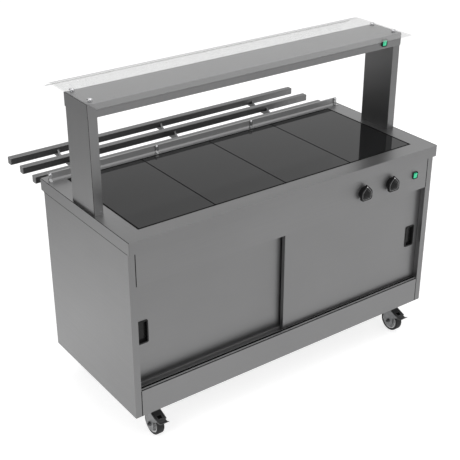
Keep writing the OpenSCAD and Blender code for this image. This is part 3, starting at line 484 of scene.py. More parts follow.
# %% Glass and silicone
ceramic = Finish("black_ceramic_glass", (0.012, 0.0121, 0.0125), 0.045, IOR=1.25)
dots = ceramic.noise(1500.0, detail=0.0)
ceramic.tint(dots, (0.01, 0.0101, 0.0104), (0.018, 0.0182, 0.0188), 0.5, 0.72)
ceramic.rough(ceramic.noise(5.0), 0.035, 0.07)
dress("glass_panels", ceramic)
silicone = Finish("black_silicone", (0.003, 0.003, 0.003), 0.7, IOR=1.1)
silicone.relief(silicone.noise(220.0), 0.0001)
dress("glass_seal", silicone)
print("glass:", ceramic.material.name)

# %% Beads of silicone
glass_low, glass_high = corners("glass_panels")
BEAD_W, BORDER_W, BEAD_H, JOINT_GAP = 4.6, 7.0, 0.5, 2.0
bead_mesh = bmesh.new()
reach = (JOINT_GAP + BORDER_W) / 2
under, over = working_height - 1, working_height + BEAD_H
for k, x in enumerate(spaced(glass_low.x - JOINT_GAP / 2, glass_high.x + JOINT_GAP / 2, 5)):
    half = (BORDER_W if k in (0, 4) else BEAD_W) / 2
    block(bead_mesh, (x - half, glass_low.y - reach, under), (x + half, glass_high.y + reach, over))
for y in (glass_low.y - JOINT_GAP / 2, glass_high.y + JOINT_GAP / 2):
    block(bead_mesh, (glass_low.x - reach, y - BORDER_W / 2, under),
          (glass_high.x + reach, y + BORDER_W / 2, over))
soften(bead_mesh, above(bead_mesh.edges, working_height), 0.45)
finished("silicone_beads", bead_mesh, "counter", silicone)

# %% [markdown]
# ## Finishes of the hidden and the small parts
#
# Each of them is a Principled shader with its own fine pattern: rolled steel inside, mineral board
# round the heaters, a dark sheath on the cupboard's element, moulded plastics, zinc on the casters,
# rubber on the wheels and bright chrome on the fixings.


# %% Finishes of small parts
def plastic(name, colour, roughness, grain=900.0, depth=0.00002, **sockets):
    """Moulded plastic with a fine spark-eroded grain."""
    finish = Finish(name, colour, roughness, **sockets)
    skin = finish.noise(grain, detail=2.0)
    finish.tint(finish.noise(14.0), shaded(colour, 0.9), shaded(colour, 1.1))
    finish.rough(skin, roughness * 0.88, roughness * 1.12)
    finish.relief(skin, depth)
    return finish


CORNERS = ("fl", "fr", "rl", "rr")
inner_steel = satin_steel("rolled_inner_steel", "X", 1.7, (0.3, 0.42))
mineral_board = Finish("mineral_board", (0.62, 0.6, 0.55), 0.95)
mineral_board.tint(mineral_board.noise(60.0, detail=5.0), (0.55, 0.53, 0.48), (0.68, 0.66, 0.6))
mineral_board.relief(mineral_board.noise(400.0), 0.0003)
sheath = Finish("element_sheath", (0.1, 0.098, 0.095), 0.45, Metallic=1.0)
sheath.tint(sheath.noise(30.0), (0.07, 0.062, 0.055), (0.14, 0.138, 0.135))
grey_plastic = plastic("grey_plastic", (0.16, 0.16, 0.165), 0.5)
black_plastic = plastic("black_plastic", (0.014, 0.014, 0.0145), 0.38)
gloss_black = plastic("gloss_black", (0.006, 0.006, 0.0063), 0.14, 300.0, 0.000004, IOR=1.3)
satin_black = plastic("satin_black", (0.009, 0.009, 0.0094), 0.24, 500.0, 0.00001, IOR=1.3)
pedal_black = plastic("pedal_black", (0.034, 0.034, 0.0345), 0.36, 600.0, 0.00004)
white_paint = plastic("white_paint", (0.82, 0.82, 0.81), 0.4)
# The pale colour of the knobs' ring is a painted highlight.
painted_highlight_line = plastic("painted_highlight_line", (0.24, 0.24, 0.244), 0.4)
ceramic_end = plastic("white_ceramic", (0.78, 0.76, 0.71), 0.6)
hub_plastic = plastic("grey_hub_plastic", (0.52, 0.522, 0.526), 0.42)
rubber = plastic("dark_rubber", (0.011, 0.011, 0.0116), 0.6, 500.0, 0.00006, IOR=1.35)
zinc = Finish("zinc_plate", (0.21, 0.212, 0.216), 0.38, Metallic=1.0)
zinc.tint(zinc.noise(45.0, detail=4.0), (0.185, 0.187, 0.19), (0.245, 0.247, 0.252))
zinc.rough(zinc.noise(120.0), 0.3, 0.46)
chrome = Finish("bright_chrome", (0.5, 0.5, 0.51), 0.09, Metallic=1.0)
chrome.rough(chrome.noise(80.0), 0.06, 0.14)
mirror_sheet = Finish("reflector_sheet", (0.78, 0.78, 0.79), 0.12, Metallic=1.0)
mirror_sheet.rough(mirror_sheet.noise(40.0, (0.1, 1, 1)), 0.08, 0.2)
quartz = Finish("quartz", (0.93, 0.9, 0.87), 0.08, IOR=1.46, Transmission_Weight=0.85)
quartz.rough(quartz.noise(60.0), 0.05, 0.16)
green_glow = Finish("green_rocker", (0.03, 0.5, 0.25), 0.3, IOR=1.4, Emission_Strength=0.2)
green_glow.shade(Emission_Color=(0.04, 0.75, 0.38, 1))
green_glow.tint(green_glow.noise(260.0), (0.025, 0.46, 0.23), (0.04, 0.54, 0.28))
for node in ("hot_top_tray", "cabinet_floor", "liner_panels", "cupboard_shelf", "shelf_brackets",
             "chassis"):
    dress(node, inner_steel)
dress("heater_units", mineral_board)
dress("cupboard_element", sheath)
dress("regulators", grey_plastic)
dress("lamp_reflector", mirror_sheet)
dress("heat_tubes", quartz)
dress("caster_plates", zinc)
for corner in CORNERS:
    dress(f"caster_{corner}_fork", zinc)
    dress(f"caster_{corner}_tyre", rubber)
    dress(f"caster_{corner}_pedal", pedal_black)
print("finishes:", len(bpy.data.materials))

# %% [markdown]
# ## The clear guard
#
# One sheet of clear plastic lies over the overshelf and is bent down behind it under heat. It is a
# line of points, spun round the bend's centre, drawn out along the counter and given its thickness.
#
# A clear sheet does two things: it lets nearly all the light straight through, and it mirrors a
# share that grows as it is seen more flatly. Full glass would need many bounces for so thin a
# sheet, so the finish says just those two things: a clear shader, mixed with a pale mirror by the
# Fresnel law. Both faces of a real sheet mirror, and the face where the light comes in stands for
# both. Two things make the sheet greyer. The part that is level lets a little less light through,
# and where the sheet is seen edge on, the light goes a long way through the plastic. The sheet
# casts no shadow, as a clear sheet in a white room.

# %% Finish of the clear guard
STEEP_SHARE, LEVEL_SHARE, EDGE_ON_SHARE, UPPER_MIRROR = 0.986, 0.915, 0.36, 1.6
acrylic = Finish("clear_acrylic", (0.5, 0.502, 0.502), 0.03, Metallic=1.0)
acrylic.rough(acrylic.noise(3.0), 0.015, 0.05)
fresnel = acrylic.node("Fresnel", IOR=1.49).outputs[0]
geometry = acrylic.node("NewGeometry").outputs
upward = acrylic.node("SeparateXYZ", geometry["Normal"]).outputs["Z"]
entering = acrylic.result("SUBTRACT", 1.0, geometry["Backfacing"])
flatness = acrylic.result("MULTIPLY", fresnel, entering)
upper_share = acrylic.between(upward, 0.0, UPPER_MIRROR, -1.0, 1.0)
mirror_share = acrylic.result("MULTIPLY", flatness, upper_share)
mirror_share = acrylic.result("MINIMUM", mirror_share, 1.0)
# The part that faces up lets a little less light through, so it is greyer.
level_grey = acrylic.between(upward, STEEP_SHARE, LEVEL_SHARE, 0.75, 1.0)
long_way = acrylic.between(flatness, 1.0, EDGE_ON_SHARE, 0.24, 0.58)
clear = acrylic.node("BsdfTransparent", Color=acrylic.result("MULTIPLY", level_grey, long_way))
acrylic.surface("MixShader", mirror_share, clear.outputs[0], acrylic.shader.outputs[0])
print("guard finish:", acrylic.material.name)

# %% Clear guard
GUARD_T, BEND_OUTER = 6.0, 150.0
guard_low, guard_high = corners("clear_guard")
bend_y = guard_high.y - BEND_OUTER
mid_z = guard_high.z - GUARD_T / 2
bend_z = guard_high.z - BEND_OUTER


def clear_sheet():
    """The guard's middle surface from its front edge round the bend, then thickened."""
    mesh = bmesh.new()
    start = mesh.verts.new((guard_low.x, guard_low.y, mid_z))
    bend_start = mesh.verts.new((guard_low.x, bend_y, mid_z))
    mesh.edges.new((start, bend_start))
    turn = bmesh.ops.spin(mesh, geom=[bend_start], cent=(0, bend_y, bend_z), axis=(1, 0, 0),
                          angle=-QUARTER, steps=28)
    end = only_verts(turn["geom_last"])[0]
    bottom = bmesh.ops.extrude_vert_indiv(mesh, verts=[end])["verts"]
    move(mesh, bottom, (0, 0, guard_low.z - end.co.z))
    strip = bmesh.ops.extrude_edge_only(mesh, edges=mesh.edges[:])["geom"]
    move(mesh, only_verts(strip), (guard_high.x - guard_low.x, 0, 0))
    bmesh.ops.recalc_face_normals(mesh, faces=mesh.faces)
    bmesh.ops.solidify(mesh, geom=mesh.faces[:], thickness=GUARD_T)
    return mesh


guard = finished("clear_guard_sheet", clear_sheet(), "counter", acrylic)
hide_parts("clear_guard")
guard.visible_shadow = False

# %% [markdown]
# ## Standoffs
#
# Four turned fixings clamp the clear sheet to the overshelf. Each is a profile of half its section,
# spun round the upright axis: a spacer below the sheet, a shank through it and a domed cap with a
# small flat on top.

# %% Standoffs
stand_low, stand_high = corners("guard_standoffs")
shelf_low, shelf_high = corners("overshelf")
CAP_R = 10.0
stand_profile = [(0, 0), (7.4, 0), (8, 0.6), (8, 2.6), (5, 3), (5, 9), (CAP_R - 0.6, 9), (CAP_R, 9.6),
                 (CAP_R - 0.4, 10.6), (8.2, 12.2), (5.6, 13.4), (3, 13.9), (0, 14)]
stand_mesh = bmesh.new()
for x in (stand_low.x + CAP_R, stand_high.x - CAP_R):
    for y in (stand_low.y + CAP_R, stand_high.y - CAP_R):
        turned(stand_mesh, stand_profile, (x, y, shelf_high.z))
standoffs = finished("turned_standoffs", stand_mesh, "counter", chrome, 50)
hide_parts("guard_standoffs")

# %% [markdown]
# ## Upstand brackets with their button screws
#
# Four small folded brackets carry the strip at the back of the top. A foot lies on the counter and
# a tab stands up against the strip's front, and a bright button screw joins the two. The screw is
# spun from half a dome and has a six-sided disc for its socket.

# %% Upstand brackets
bracket_low, bracket_high = corners("upstand_brackets")
tab_y = corners("rear_upstand")[0].y
BRACKET_W, FOLD_T, TAB_T, SCREW_UP = 16.0, 2.0, 4.0, 26.0


def button_screw(mesh, centre, radius, height):
    """A domed screw head with a six-sided socket, standing out towards the front."""
    dome = [(0, height), (radius * 0.42, height), (radius * 0.75, height * 0.8),
            (radius, height * 0.25), (radius, 0)]
    head = turned(mesh, dome, steps=24)
    socket = bmesh.ops.create_circle(mesh, segments=6, radius=radius * 0.36, cap_ends=True)["verts"]
    move(mesh, socket, (0, 0, height * 1.01))
    swing(mesh, head + socket, *TURN_TO["-Y"])
    move(mesh, head + socket, centre)


tab_mesh = bmesh.new()
screw_mesh = bmesh.new()
for x in spaced(bracket_low.x + BRACKET_W / 2, bracket_high.x - BRACKET_W / 2, 4):
    left, right = x - BRACKET_W / 2, x + BRACKET_W / 2
    block(tab_mesh, (left, bracket_low.y, working_height), (right, tab_y, working_height + FOLD_T))
    tab = block(tab_mesh, (left, tab_y - TAB_T, working_height), (right, tab_y, bracket_high.z))
    soften(tab_mesh, deep(above(edges_of(tab), working_height + 20)), 6.0, 5)
    button_screw(screw_mesh, (x, tab_y - TAB_T, working_height + SCREW_UP), 6.2, 5.2)
soften(tab_mesh, sharp(tab_mesh.edges, 1.2), 0.4, 1)
# The tabs get a much paler copy of the steel: painted light. Their lower roughness is their own.
lit_tab_steel = satin_steel("folded_tab_painted_light", "Z", 1.9, (0.2, 0.3))
brackets = finished("upstand_tabs", tab_mesh, "counter", lit_tab_steel)
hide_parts("upstand_brackets")
finished("upstand_screws", screw_mesh, "counter", chrome)

# %% [markdown]
# ## Control knobs
#
# The two knobs are moulded in gloss black. A round collar stands on the fascia and carries a thick
# plate with straight flanks, a round foot and a blunt point. A pale ring stands a little proud round
# its front, and its pale colour is a painted highlight: the light that the ring's edge mirrors.
# Inside the ring a low grip has ribs for the fingers. Each outline starts as a plate of five
# corners, and each corner gets its own radius by a bevel. A white dot at the point shows the
# setting.

# %% Knob shape
PLATE_OUTLINE = {"half": 29.5, "foot": 29.5, "shoulder": 9.0, "peak": 39.0}
GRIP_OUTLINE = {"half": 15.0, "foot": 20.0, "shoulder": 5.0, "peak": 21.0}
LINE_OUTLINE = {"half": 23.6, "foot": 24.4, "shoulder": 6.8, "peak": 31.4}
FOOT_R, SHOULDER_R, PEAK_R = 12.0, 8.0, 3.5


def knob_layer(mesh, outline, back_y, face_y, edge):
    """One layer of the knob: a pointed plate from back_y to face_y, with its front edge rounded."""
    half, foot, shoulder, peak = outline["half"], -outline["foot"], outline["shoulder"], outline["peak"]
    places = [(-half, foot), (half, foot), (half, shoulder), (0, peak), (-half, shoulder)]
    face = mesh.faces.new([mesh.verts.new((x, back_y, z)) for x, z in places])
    layer = bmesh.ops.extrude_face_region(mesh, geom=[face], use_keep_orig=True)["geom"]
    move(mesh, only_verts(layer), (0, face_y - back_y, 0))
    bmesh.ops.recalc_face_normals(mesh, faces=mesh.faces)
    ends = {round(back_y, 2), round(face_y, 2)}
    for z, radius in ((foot, FOOT_R), (shoulder, SHOULDER_R), (peak, PEAK_R)):
        corner = [e for e in mesh.edges if all(abs(v.co.z - z) < 0.01 for v in e.verts)
                  and {round(v.co.y, 2) for v in e.verts} == ends]
        soften(mesh, corner, radius, 6)
    rim = [e for e in mesh.edges if all(abs(v.co.y - face_y) < 0.01 for v in e.verts)]
    soften(mesh, rim, edge, 3)


# %% Knobs
COLLAR_R, COLLAR_Y, PLATE_Y, GRIP_Y, BODY_T = 27.0, 16.8, 20.8, 22.4, 8.0
LINE_W, LINE_PROUD, LINE_IN, LINE_SINK = 2.4, 0.3, 0.8, 0.7
RIB_STEP, RIB_HALF, RIB_PROUD, RIB_FOOT, RIB_PEAK, RIB_DROP = 5.4, 1.0, 1.2, -15, 14, 5
DOT_PROFILE = [(0, 0.5), (1.7, 0.5), (2.2, 0.2), (2.3, -0.9)]
DOT_PROUD, DOT_RISE = 0.4, LINE_OUTLINE["peak"] - 1.4
for node, body in (("hot_top_knob", "hot_top_control"), ("cupboard_knob", "cupboard_control")):
    base_y = corners(node)[1].y
    plate_y, grip_y = base_y - PLATE_Y, base_y - GRIP_Y
    centre = pivot(body + "_turn")
    spindle = (centre.x, 0, centre.z)
    mesh = bmesh.new()
    knob_layer(mesh, PLATE_OUTLINE, plate_y + BODY_T, plate_y, 0.5)
    knob_layer(mesh, GRIP_OUTLINE, plate_y + 1, grip_y, 0.9)
    turned(mesh, [(0, 0), (COLLAR_R, 0), (COLLAR_R, COLLAR_Y), (0, COLLAR_Y)], (0, base_y, 0), "-Y", 48)
    for k in range(-2, 3):
        rib = block(mesh, (k * RIB_STEP - RIB_HALF, grip_y - RIB_PROUD, RIB_FOOT),
                    (k * RIB_STEP + RIB_HALF, grip_y + 1, RIB_PEAK - RIB_DROP * abs(k)))
        soften(mesh, edges_of(rib), 0.7)
    move(mesh, mesh.verts, spindle)
    knob = finished(node + "_moulding", mesh, body, gloss_black, 50)
    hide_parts(node)
    # The pale ring round the knob's front: its colour is a painted highlight.
    mesh = bmesh.new()
    line_y = plate_y - LINE_PROUD
    knob_layer(mesh, LINE_OUTLINE, plate_y + LINE_IN, line_y, 0.15)
    field = [f for f in mesh.faces if abs(f.calc_center_median().y - line_y) < 0.01]
    drawn(mesh, field, [(LINE_W, 0)], LINE_SINK)
    move(mesh, mesh.verts, spindle)
    finished(node + "_line", mesh, body, painted_highlight_line)
    mesh = bmesh.new()
    turned(mesh, DOT_PROFILE, (centre.x, plate_y - DOT_PROUD, centre.z + DOT_RISE), "-Y", 20)
    finished(node + "_dot", mesh, body, white_paint)

# %% [markdown]
# ## Rocker switches
#
# A rocker switch is a black frame that snaps into the sheet and a green rocker that glows when the
# power is on. The frame's flange is a plate with round corners. Its back is inset and drawn back
# for the housing, and its front is inset and pushed in for the well. The rocker is a block cut once
# across the middle, with the middle edge pushed in to make the valley, then tilted about its pin.

# %% Switch frames and rockers
SWITCH_W, SWITCH_H, BEZEL_T, SWITCH_DEPTH, WELL_DEPTH = 25.0, 30.0, 6.0, 22.0, 8.0
ROCKER_W, ROCKER_H, ROCKER_FACE, ROCKER_BACK = 19.6, 21.2, 10.5, 3.5
ROCKER_PIN, ROCKER_TILT, VALLEY_DEPTH = 4.0, 8.0, 1.5


def switch_frame(mesh, x, y, z):
    """The housing of a switch whose flange lies on the sheet at y."""
    round_plate(mesh, (x - SWITCH_W / 2, y - BEZEL_T, z - SWITCH_H / 2),
                (x + SWITCH_W / 2, y, z + SWITCH_H / 2), 2.0, 4)
    centres = [(f, f.calc_center_median()) for f in mesh.faces]
    faces = [f for f, middle in centres if abs(middle.x - x) < 0.1 and abs(middle.z - z) < 0.1]
    drawn(mesh, [f for f in faces if f.normal.y > 0.9], [(2.0, 0)], SWITCH_DEPTH)
    front = [f for f in faces if f.normal.y < -0.9]
    drawn(mesh, front, [(0.5, 0.5), (1.6, 0)], WELL_DEPTH + BEZEL_T)


def rocker_cap(mesh, pin):
    """The green rocker, tilted to its resting side about its pin."""
    block(mesh, (-ROCKER_W / 2, -ROCKER_FACE, -ROCKER_H / 2), (ROCKER_W / 2, ROCKER_BACK, ROCKER_H / 2))
    everything = mesh.verts[:] + mesh.edges[:] + mesh.faces[:]
    cut = bmesh.ops.bisect_plane(mesh, geom=everything, plane_co=(0, 0, 0), plane_no=(0, 0, 1))
    valley = [v for v in only_verts(cut["geom_cut"]) if v.co.y < 0]
    move(mesh, valley, (0, VALLEY_DEPTH, 0))
    soften(mesh, sharp(mesh.edges, 0.8), 0.7, 3)
    swing(mesh, mesh.verts, math.radians(ROCKER_TILT), "X")
    move(mesh, mesh.verts, pin)


frame_mesh = bmesh.new()
for node, body in (("main_rocker", "main_switch"), ("lamp_rocker", "lamp_switch")):
    pin = pivot(body + "_rock")
    switch_frame(frame_mesh, pin.x, pin.y - ROCKER_PIN, pin.z)
    mesh = bmesh.new()
    rocker_cap(mesh, pin)
    rocker = finished(node + "_cap", mesh, body, green_glow)
    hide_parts(node)
frames = finished("switch_frames", frame_mesh, "counter", satin_black)
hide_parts("switch_bodies")

# %% [markdown]
# ## Recessed door handles
#
# Each door has a black cup let into it. The flange is a plate with round corners. Its back is inset
# and drawn back to make the cup's outside, and its front is inset and pushed in to make the pocket.

# %% Door handles
FLANGE_T, CUP_WALL, POCKET_LEFT = 2.0, 4.6, 4.5
for node, body in (("left_handle", "left_door"), ("right_handle", "right_door")):
    low, high = corners(node)
    cup_depth = high.y - low.y
    mesh = bmesh.new()
    round_plate(mesh, low, (high.x, low.y + FLANGE_T, high.z), 8.0, 6)
    drawn(mesh, [f for f in mesh.faces if f.normal.y > 0.9], [(CUP_WALL, 0)], cup_depth - FLANGE_T)
    front = [f for f in mesh.faces if f.normal.y < -0.9]
    drawn(mesh, front, [(1.0, 0.6), (5.0, 0), (0.8, -0.8)], cup_depth - POCKET_LEFT)
    handle = finished(node + "_cup", mesh, body, satin_black, 35)
    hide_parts(node)

# %% [markdown]
# ## Lamp guard and cable gland
#
# Under the overshelf a net of bright wires keeps hands off the hot quartz tubes. Long wires run the
# length of the shelf and short ones cross them. On the back of the cabinet a moulded gland with two
# six-sided nuts holds the supply cable, which isn't part of this model.

# %% Wire net
net_low, net_high = corners("tube_guard")
net_mesh = bmesh.new()
wire_r = (net_high.z - net_low.z) / 2
net_z = (net_low.z + net_high.z) / 2


def bar(mesh, start, end, radius):
    """A round bar between two places."""
    start, end = Vector(start), Vector(end)
    made = drum(mesh, 10, radius, (end - start).length)
    turn = (end - start).to_track_quat("Z", "Y").to_matrix()
    bmesh.ops.rotate(mesh, verts=made, cent=(0, 0, 0), matrix=turn)
    move(mesh, made, (start + end) / 2)


for y in spaced(net_low.y + 2 * wire_r, net_high.y - 2 * wire_r, 5):
    bar(net_mesh, (net_low.x, y, net_z), (net_high.x, y, net_z), wire_r)
for x in spaced(net_low.x + wire_r, net_high.x - wire_r, 15):
    bar(net_mesh, (x, net_low.y, net_z), (x, net_high.y, net_z), wire_r)
net = finished("wire_net", net_mesh, "counter", chrome)
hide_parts("tube_guard")

# %% Cable gland
BORE_R, SLEEVE_R, NUT_R = 6.5, 12.0, 17.0
gland_low, gland_high = corners("cable_gland")
gland_x = (gland_low.x + gland_high.x) / 2
gland_z = (gland_low.z + gland_high.z) / 2
gland_len = gland_high.y - gland_low.y
gland_mesh = bmesh.new()
gland_profile = [(BORE_R, 0), (SLEEVE_R - 0.4, 0), (SLEEVE_R, 0.4), (SLEEVE_R, gland_len - 9),
                 (11.4, gland_len - 5), (9.6, gland_len - 1), (8.4, gland_len), (BORE_R, gland_len - 0.6),
                 (BORE_R, 0)]
turned(gland_mesh, gland_profile, (gland_x, gland_low.y, gland_z), "Y")
for back, nut_len in ((2.7, 5.0), (10.0, 11.0)):
    nut = drum(gland_mesh, 6, NUT_R, nut_len)
    nut = grown(soften(gland_mesh, edges_of(nut), 0.8)["verts"])
    swing(gland_mesh, nut, *TURN_TO["Y"])
    move(gland_mesh, nut, (gland_x, gland_low.y + back + nut_len / 2, gland_z))
gland = finished("moulded_gland", gland_mesh, "counter", black_plastic)
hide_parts("cable_gland")

# %% [markdown]
# ## Wheel centres and axle caps
#
# A caster's wheel centre is one grey moulding: a hub round the axle, a thin web, and a rim with a
# raised bead that shows as a pale ring beside the tyre. It is a closed line of points, spun round
# the axle. A black cap with a dished face closes each end of the axle.

# %% Wheels
HUB_BORE, HUB_R, WEB_T, RIM_R, RIM_W = 7.2, 13.0, 6.0, 40.8, 29.0
half_profile = [(HUB_BORE, 18.2), (12.2, 18.2), (HUB_R, 17.4), (14.0, 4.2), (16.5, WEB_T / 2),
                (31.5, WEB_T / 2), (33.6, 4.6), (34.4, 12.6), (35.2, 13.8), (36.4, RIM_W / 2),
                (39.6, RIM_W / 2), (RIM_R, 13.2)]
wheel_profile = half_profile + [(radius, -height) for radius, height in reversed(half_profile)]
cap_profile = [(0, 0.6), (2.6, 0.6), (4.0, 1.6), (5.2, 1.6), (6.0, 1.0), (6.2, 0), (6.2, -3)]
for corner in CORNERS:
    axle = pivot(f"wheel_{corner}_spin")
    mesh = bmesh.new()
    turned(mesh, wheel_profile + wheel_profile[:1], axle, "X", 64)
    wheel = finished(f"caster_{corner}_wheel_centre", mesh, f"wheel_{corner}", hub_plastic)
    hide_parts(f"caster_{corner}_hub")
    fork_low, fork_high = corners(f"caster_{corner}_fork")
    mesh = bmesh.new()
    turned(mesh, cap_profile, (fork_high.x, axle.y, axle.z), "X")
    left_cap = turned(mesh, cap_profile, axis="X")
    swing(mesh, left_cap, math.pi, "Z")
    move(mesh, left_cap, (fork_low.x, axle.y, axle.z))
    finished(f"caster_{corner}_axle_caps", mesh, f"caster_{corner}", black_plastic)

# %% [markdown]
# ## Pads on the brake pedals
#
# The sole presses on a ribbed rubber pad that is let into the pedal's hump. The pad is a thin block
# with three ribs, tilted to lie along the hump and pushed a little into its pocket.

# %% Pedal pads
PAD_W, PAD_L, PAD_T, PAD_SLOPE = 19.0, 14.0, 2.4, math.radians(21.4)
RIB_L, RIB_T, PAD_RIB_STEP, PAD_Y, PAD_Z = 15.0, 1.6, 4.0, 43.6, 12.6
for corner in CORNERS:
    pedal_low, pedal_high = corners(f"caster_{corner}_pedal")
    mesh = bmesh.new()
    pad = block(mesh, (-PAD_W / 2, -PAD_L / 2, 0), (PAD_W / 2, PAD_L / 2, PAD_T))
    soften(mesh, above(edges_of(pad), PAD_T / 2), 0.6)
    for y in (-PAD_RIB_STEP, 0, PAD_RIB_STEP):
        rib = block(mesh, (-RIB_L / 2, y - RIB_T / 2, PAD_T - 0.4), (RIB_L / 2, y + RIB_T / 2, PAD_T + 0.6))
        soften(mesh, edges_of(rib), 0.3, 1)
    swing(mesh, mesh.verts, PAD_SLOPE, "X")
    move(mesh, mesh.verts, ((pedal_low.x + pedal_high.x) / 2, pedal_low.y + PAD_Y, pedal_low.z + PAD_Z))
    finished(f"caster_{corner}_pedal_pad", mesh, f"brake_{corner}", silicone)

# %% [markdown]
# ## Bolts and screws
#
# Each caster plate hangs on four six-sided bolts. Button screws hold the slide's brackets and the
# back panel, one small screw sits at the foot of the left post and a grey rivet shows on the
# overshelf. They are small, but a steel cabinet without fixings looks like a drawing.

# %% Caster bolts
PLATE_T, WASHER_R, WASHER_T, BOLT_R, BOLT_H, BOLT_X, BOLT_Y = 4.0, 8.4, 1.4, 7.2, 5.0, 40, 30
bolt_mesh = bmesh.new()
bolt_z = corners("caster_plates")[1].z - PLATE_T
for corner in CORNERS:
    swivel = pivot(f"caster_{corner}_swivel")
    for dx in (-BOLT_X, BOLT_X):
        for dy in (-BOLT_Y, BOLT_Y):
            washer = drum(bolt_mesh, 20, WASHER_R, WASHER_T)
            move(bolt_mesh, washer, (0, 0, -WASHER_T / 2))
            head = drum(bolt_mesh, 6, BOLT_R, BOLT_H)
            move(bolt_mesh, head, (0, 0, -WASHER_T - BOLT_H / 2))
            move(bolt_mesh, washer + head, (swivel.x + dx, swivel.y + dy, bolt_z))
soften(bolt_mesh, sharp(bolt_mesh.edges, 1.2), 0.35, 1)
finished("caster_plate_bolts", bolt_mesh, "counter", zinc)

# %% Screws on the back
BRACKET_T, SLIDE_BRACKET_W, SCREW_SIDE, SCREW_RISE = 3.0, 60.0, 20, 26.0
PANEL_END, PANEL_EDGE, PANEL_FOOT, PANEL_HEAD, PANEL_RISES = 20, 12, 12, 9, (240, 480)
screw_mesh = bmesh.new()


def back_screw(x, y, z, radius=4.5, height=1.8):
    """A button screw that stands out towards the back."""
    dome = [(0, height * 0.55), (radius * 0.34, height * 0.55), (radius * 0.4, height),
            (radius * 0.75, height * 0.8), (radius, height * 0.25), (radius, -0.5)]
    turned(screw_mesh, dome, (x, y, z), "Y", 24)


slide_low, slide_high = corners("slide_brackets")
hinge = pivot("tray_slide_fold")
back_low, back_high = corners("back_panel")
for x in spaced(slide_low.x + SLIDE_BRACKET_W / 2, slide_high.x - SLIDE_BRACKET_W / 2, 3):
    for dx in (-SCREW_SIDE, SCREW_SIDE):
        for dz in (-SCREW_RISE, SCREW_RISE):
            back_screw(x + dx, back_high.y + BRACKET_T, hinge.z + dz, 6.0, 2.6)
for x in spaced(back_low.x + PANEL_END, back_high.x - PANEL_END, 7):
    for z in (back_low.z + PANEL_FOOT, back_high.z - PANEL_HEAD):
        back_screw(x, back_high.y, z)
for rise in PANEL_RISES:
    for x in (back_low.x + PANEL_EDGE, back_high.x - PANEL_EDGE):
        back_screw(x, back_high.y, back_low.z + rise)
finished("back_screws", screw_mesh, "counter", chrome)

# %% Screw at the post's foot and rivet on the overshelf
FOOT_SCREW_X, FOOT_SCREW_Z, RIVET_X, RIVET_Y = 26, 10, 401, 294
post_low = corners("left_post")[0]
foot_mesh = bmesh.new()
foot_place = (post_low.x + FOOT_SCREW_X, post_low.y, working_height + FOOT_SCREW_Z)
button_screw(foot_mesh, foot_place, 3.2, 1.8)
finished("post_foot_screw", foot_mesh, "counter", zinc)
rivet_mesh = bmesh.new()
rivet_profile = [(0, 1.6), (2.2, 1.4), (3.8, 0.6), (4.0, -0.5)]
turned(rivet_mesh, rivet_profile, (RIVET_X, RIVET_Y, shelf_high.z), steps=24)
finished("overshelf_rivet", rivet_mesh, "counter", zinc)

# %% [markdown]
# ## Painted dark lines along edges, in gaps and on the ledge
#
# The ends of the top, of the overshelf and of the posts get a fine dark line along each edge, a
# painted reflection of the dark lines that folded edges mirror. Dark bars under the lip of the top
# and in the gaps between the side panels and the sheets between them are painted shade. A black
# strip on the ledge in front of the doors, with a thin one in the corner below it, is painted shade
# where the doors go down behind the ledge's front. All of them are flat bars, a little proud, and
# all but the thin one have their long edges rounded over.

# %% Painted dark lines
DARK_LINE_W, DARK_LINE_T, DARK_LINE_IN, LIP_SHADE_W, LIP_SHADE_IN, LONG_EDGE = 2.6, 0.3, 0.3, 3.4, 0.2, 30
STILE_GAP, STILE_SHADE_W = 1.5, 3.4
counter_low, counter_high = corners("counter_top")
right_high = corners("right_post")[1]
side_low, side_high = corners("left_side_panel")
dark_line_mesh = bmesh.new()
# The bars along the ends of the top, the overshelf and the posts are painted reflection: the dark lines
# that folded edges mirror.
for inward, outer, shelf_end, post_end in ((1, counter_low.x, shelf_low.x, post_low.x),
                                           (-1, counter_high.x, shelf_high.x, right_high.x)):
    for x, low, high in ((outer, counter_low, counter_high), (shelf_end, shelf_low, shelf_high)):
        block(dark_line_mesh, (x + inward * DARK_LINE_IN, low.y + 1, high.z - DARK_LINE_T),
              (x + inward * DARK_LINE_W, high.y - 1, high.z + DARK_LINE_T))
    # The bar under the lip is painted shade, where the lip overhangs the side panel.
    block(dark_line_mesh, (outer + inward * LIP_SHADE_IN, side_low.y, counter_low.z - DARK_LINE_W),
          (outer + inward * LIP_SHADE_W, side_high.y, counter_low.z + DARK_LINE_T))
    for x, y, z0, z1 in ((post_end, post_low.y, working_height, shelf_low.z),
                         (shelf_end, shelf_low.y, shelf_low.z, shelf_high.z - 1)):
        block(dark_line_mesh, (x - DARK_LINE_T, y + 0.2, z0), (x + DARK_LINE_T, y + DARK_LINE_W, z1))
fascia_low, fascia_high = corners("control_fascia")
plinth_low, plinth_high = corners("front_plinth")
# The bars beside the fascia and the plinth are painted shade in the gaps to the side panels.
for x in (fascia_low.x - STILE_GAP / 2, fascia_high.x + STILE_GAP / 2):
    for low, high in ((fascia_low, fascia_high), (plinth_low, plinth_high)):
        block(dark_line_mesh, (x - STILE_SHADE_W / 2, low.y - DARK_LINE_T, low.z + 1),
              (x + STILE_SHADE_W / 2, low.y + 1, high.z - 1))
soften(dark_line_mesh, [e for e in dark_line_mesh.edges if e.calc_length() > LONG_EDGE], 0.2)
finished("painted_dark_edge_lines", dark_line_mesh, "counter", silicone)

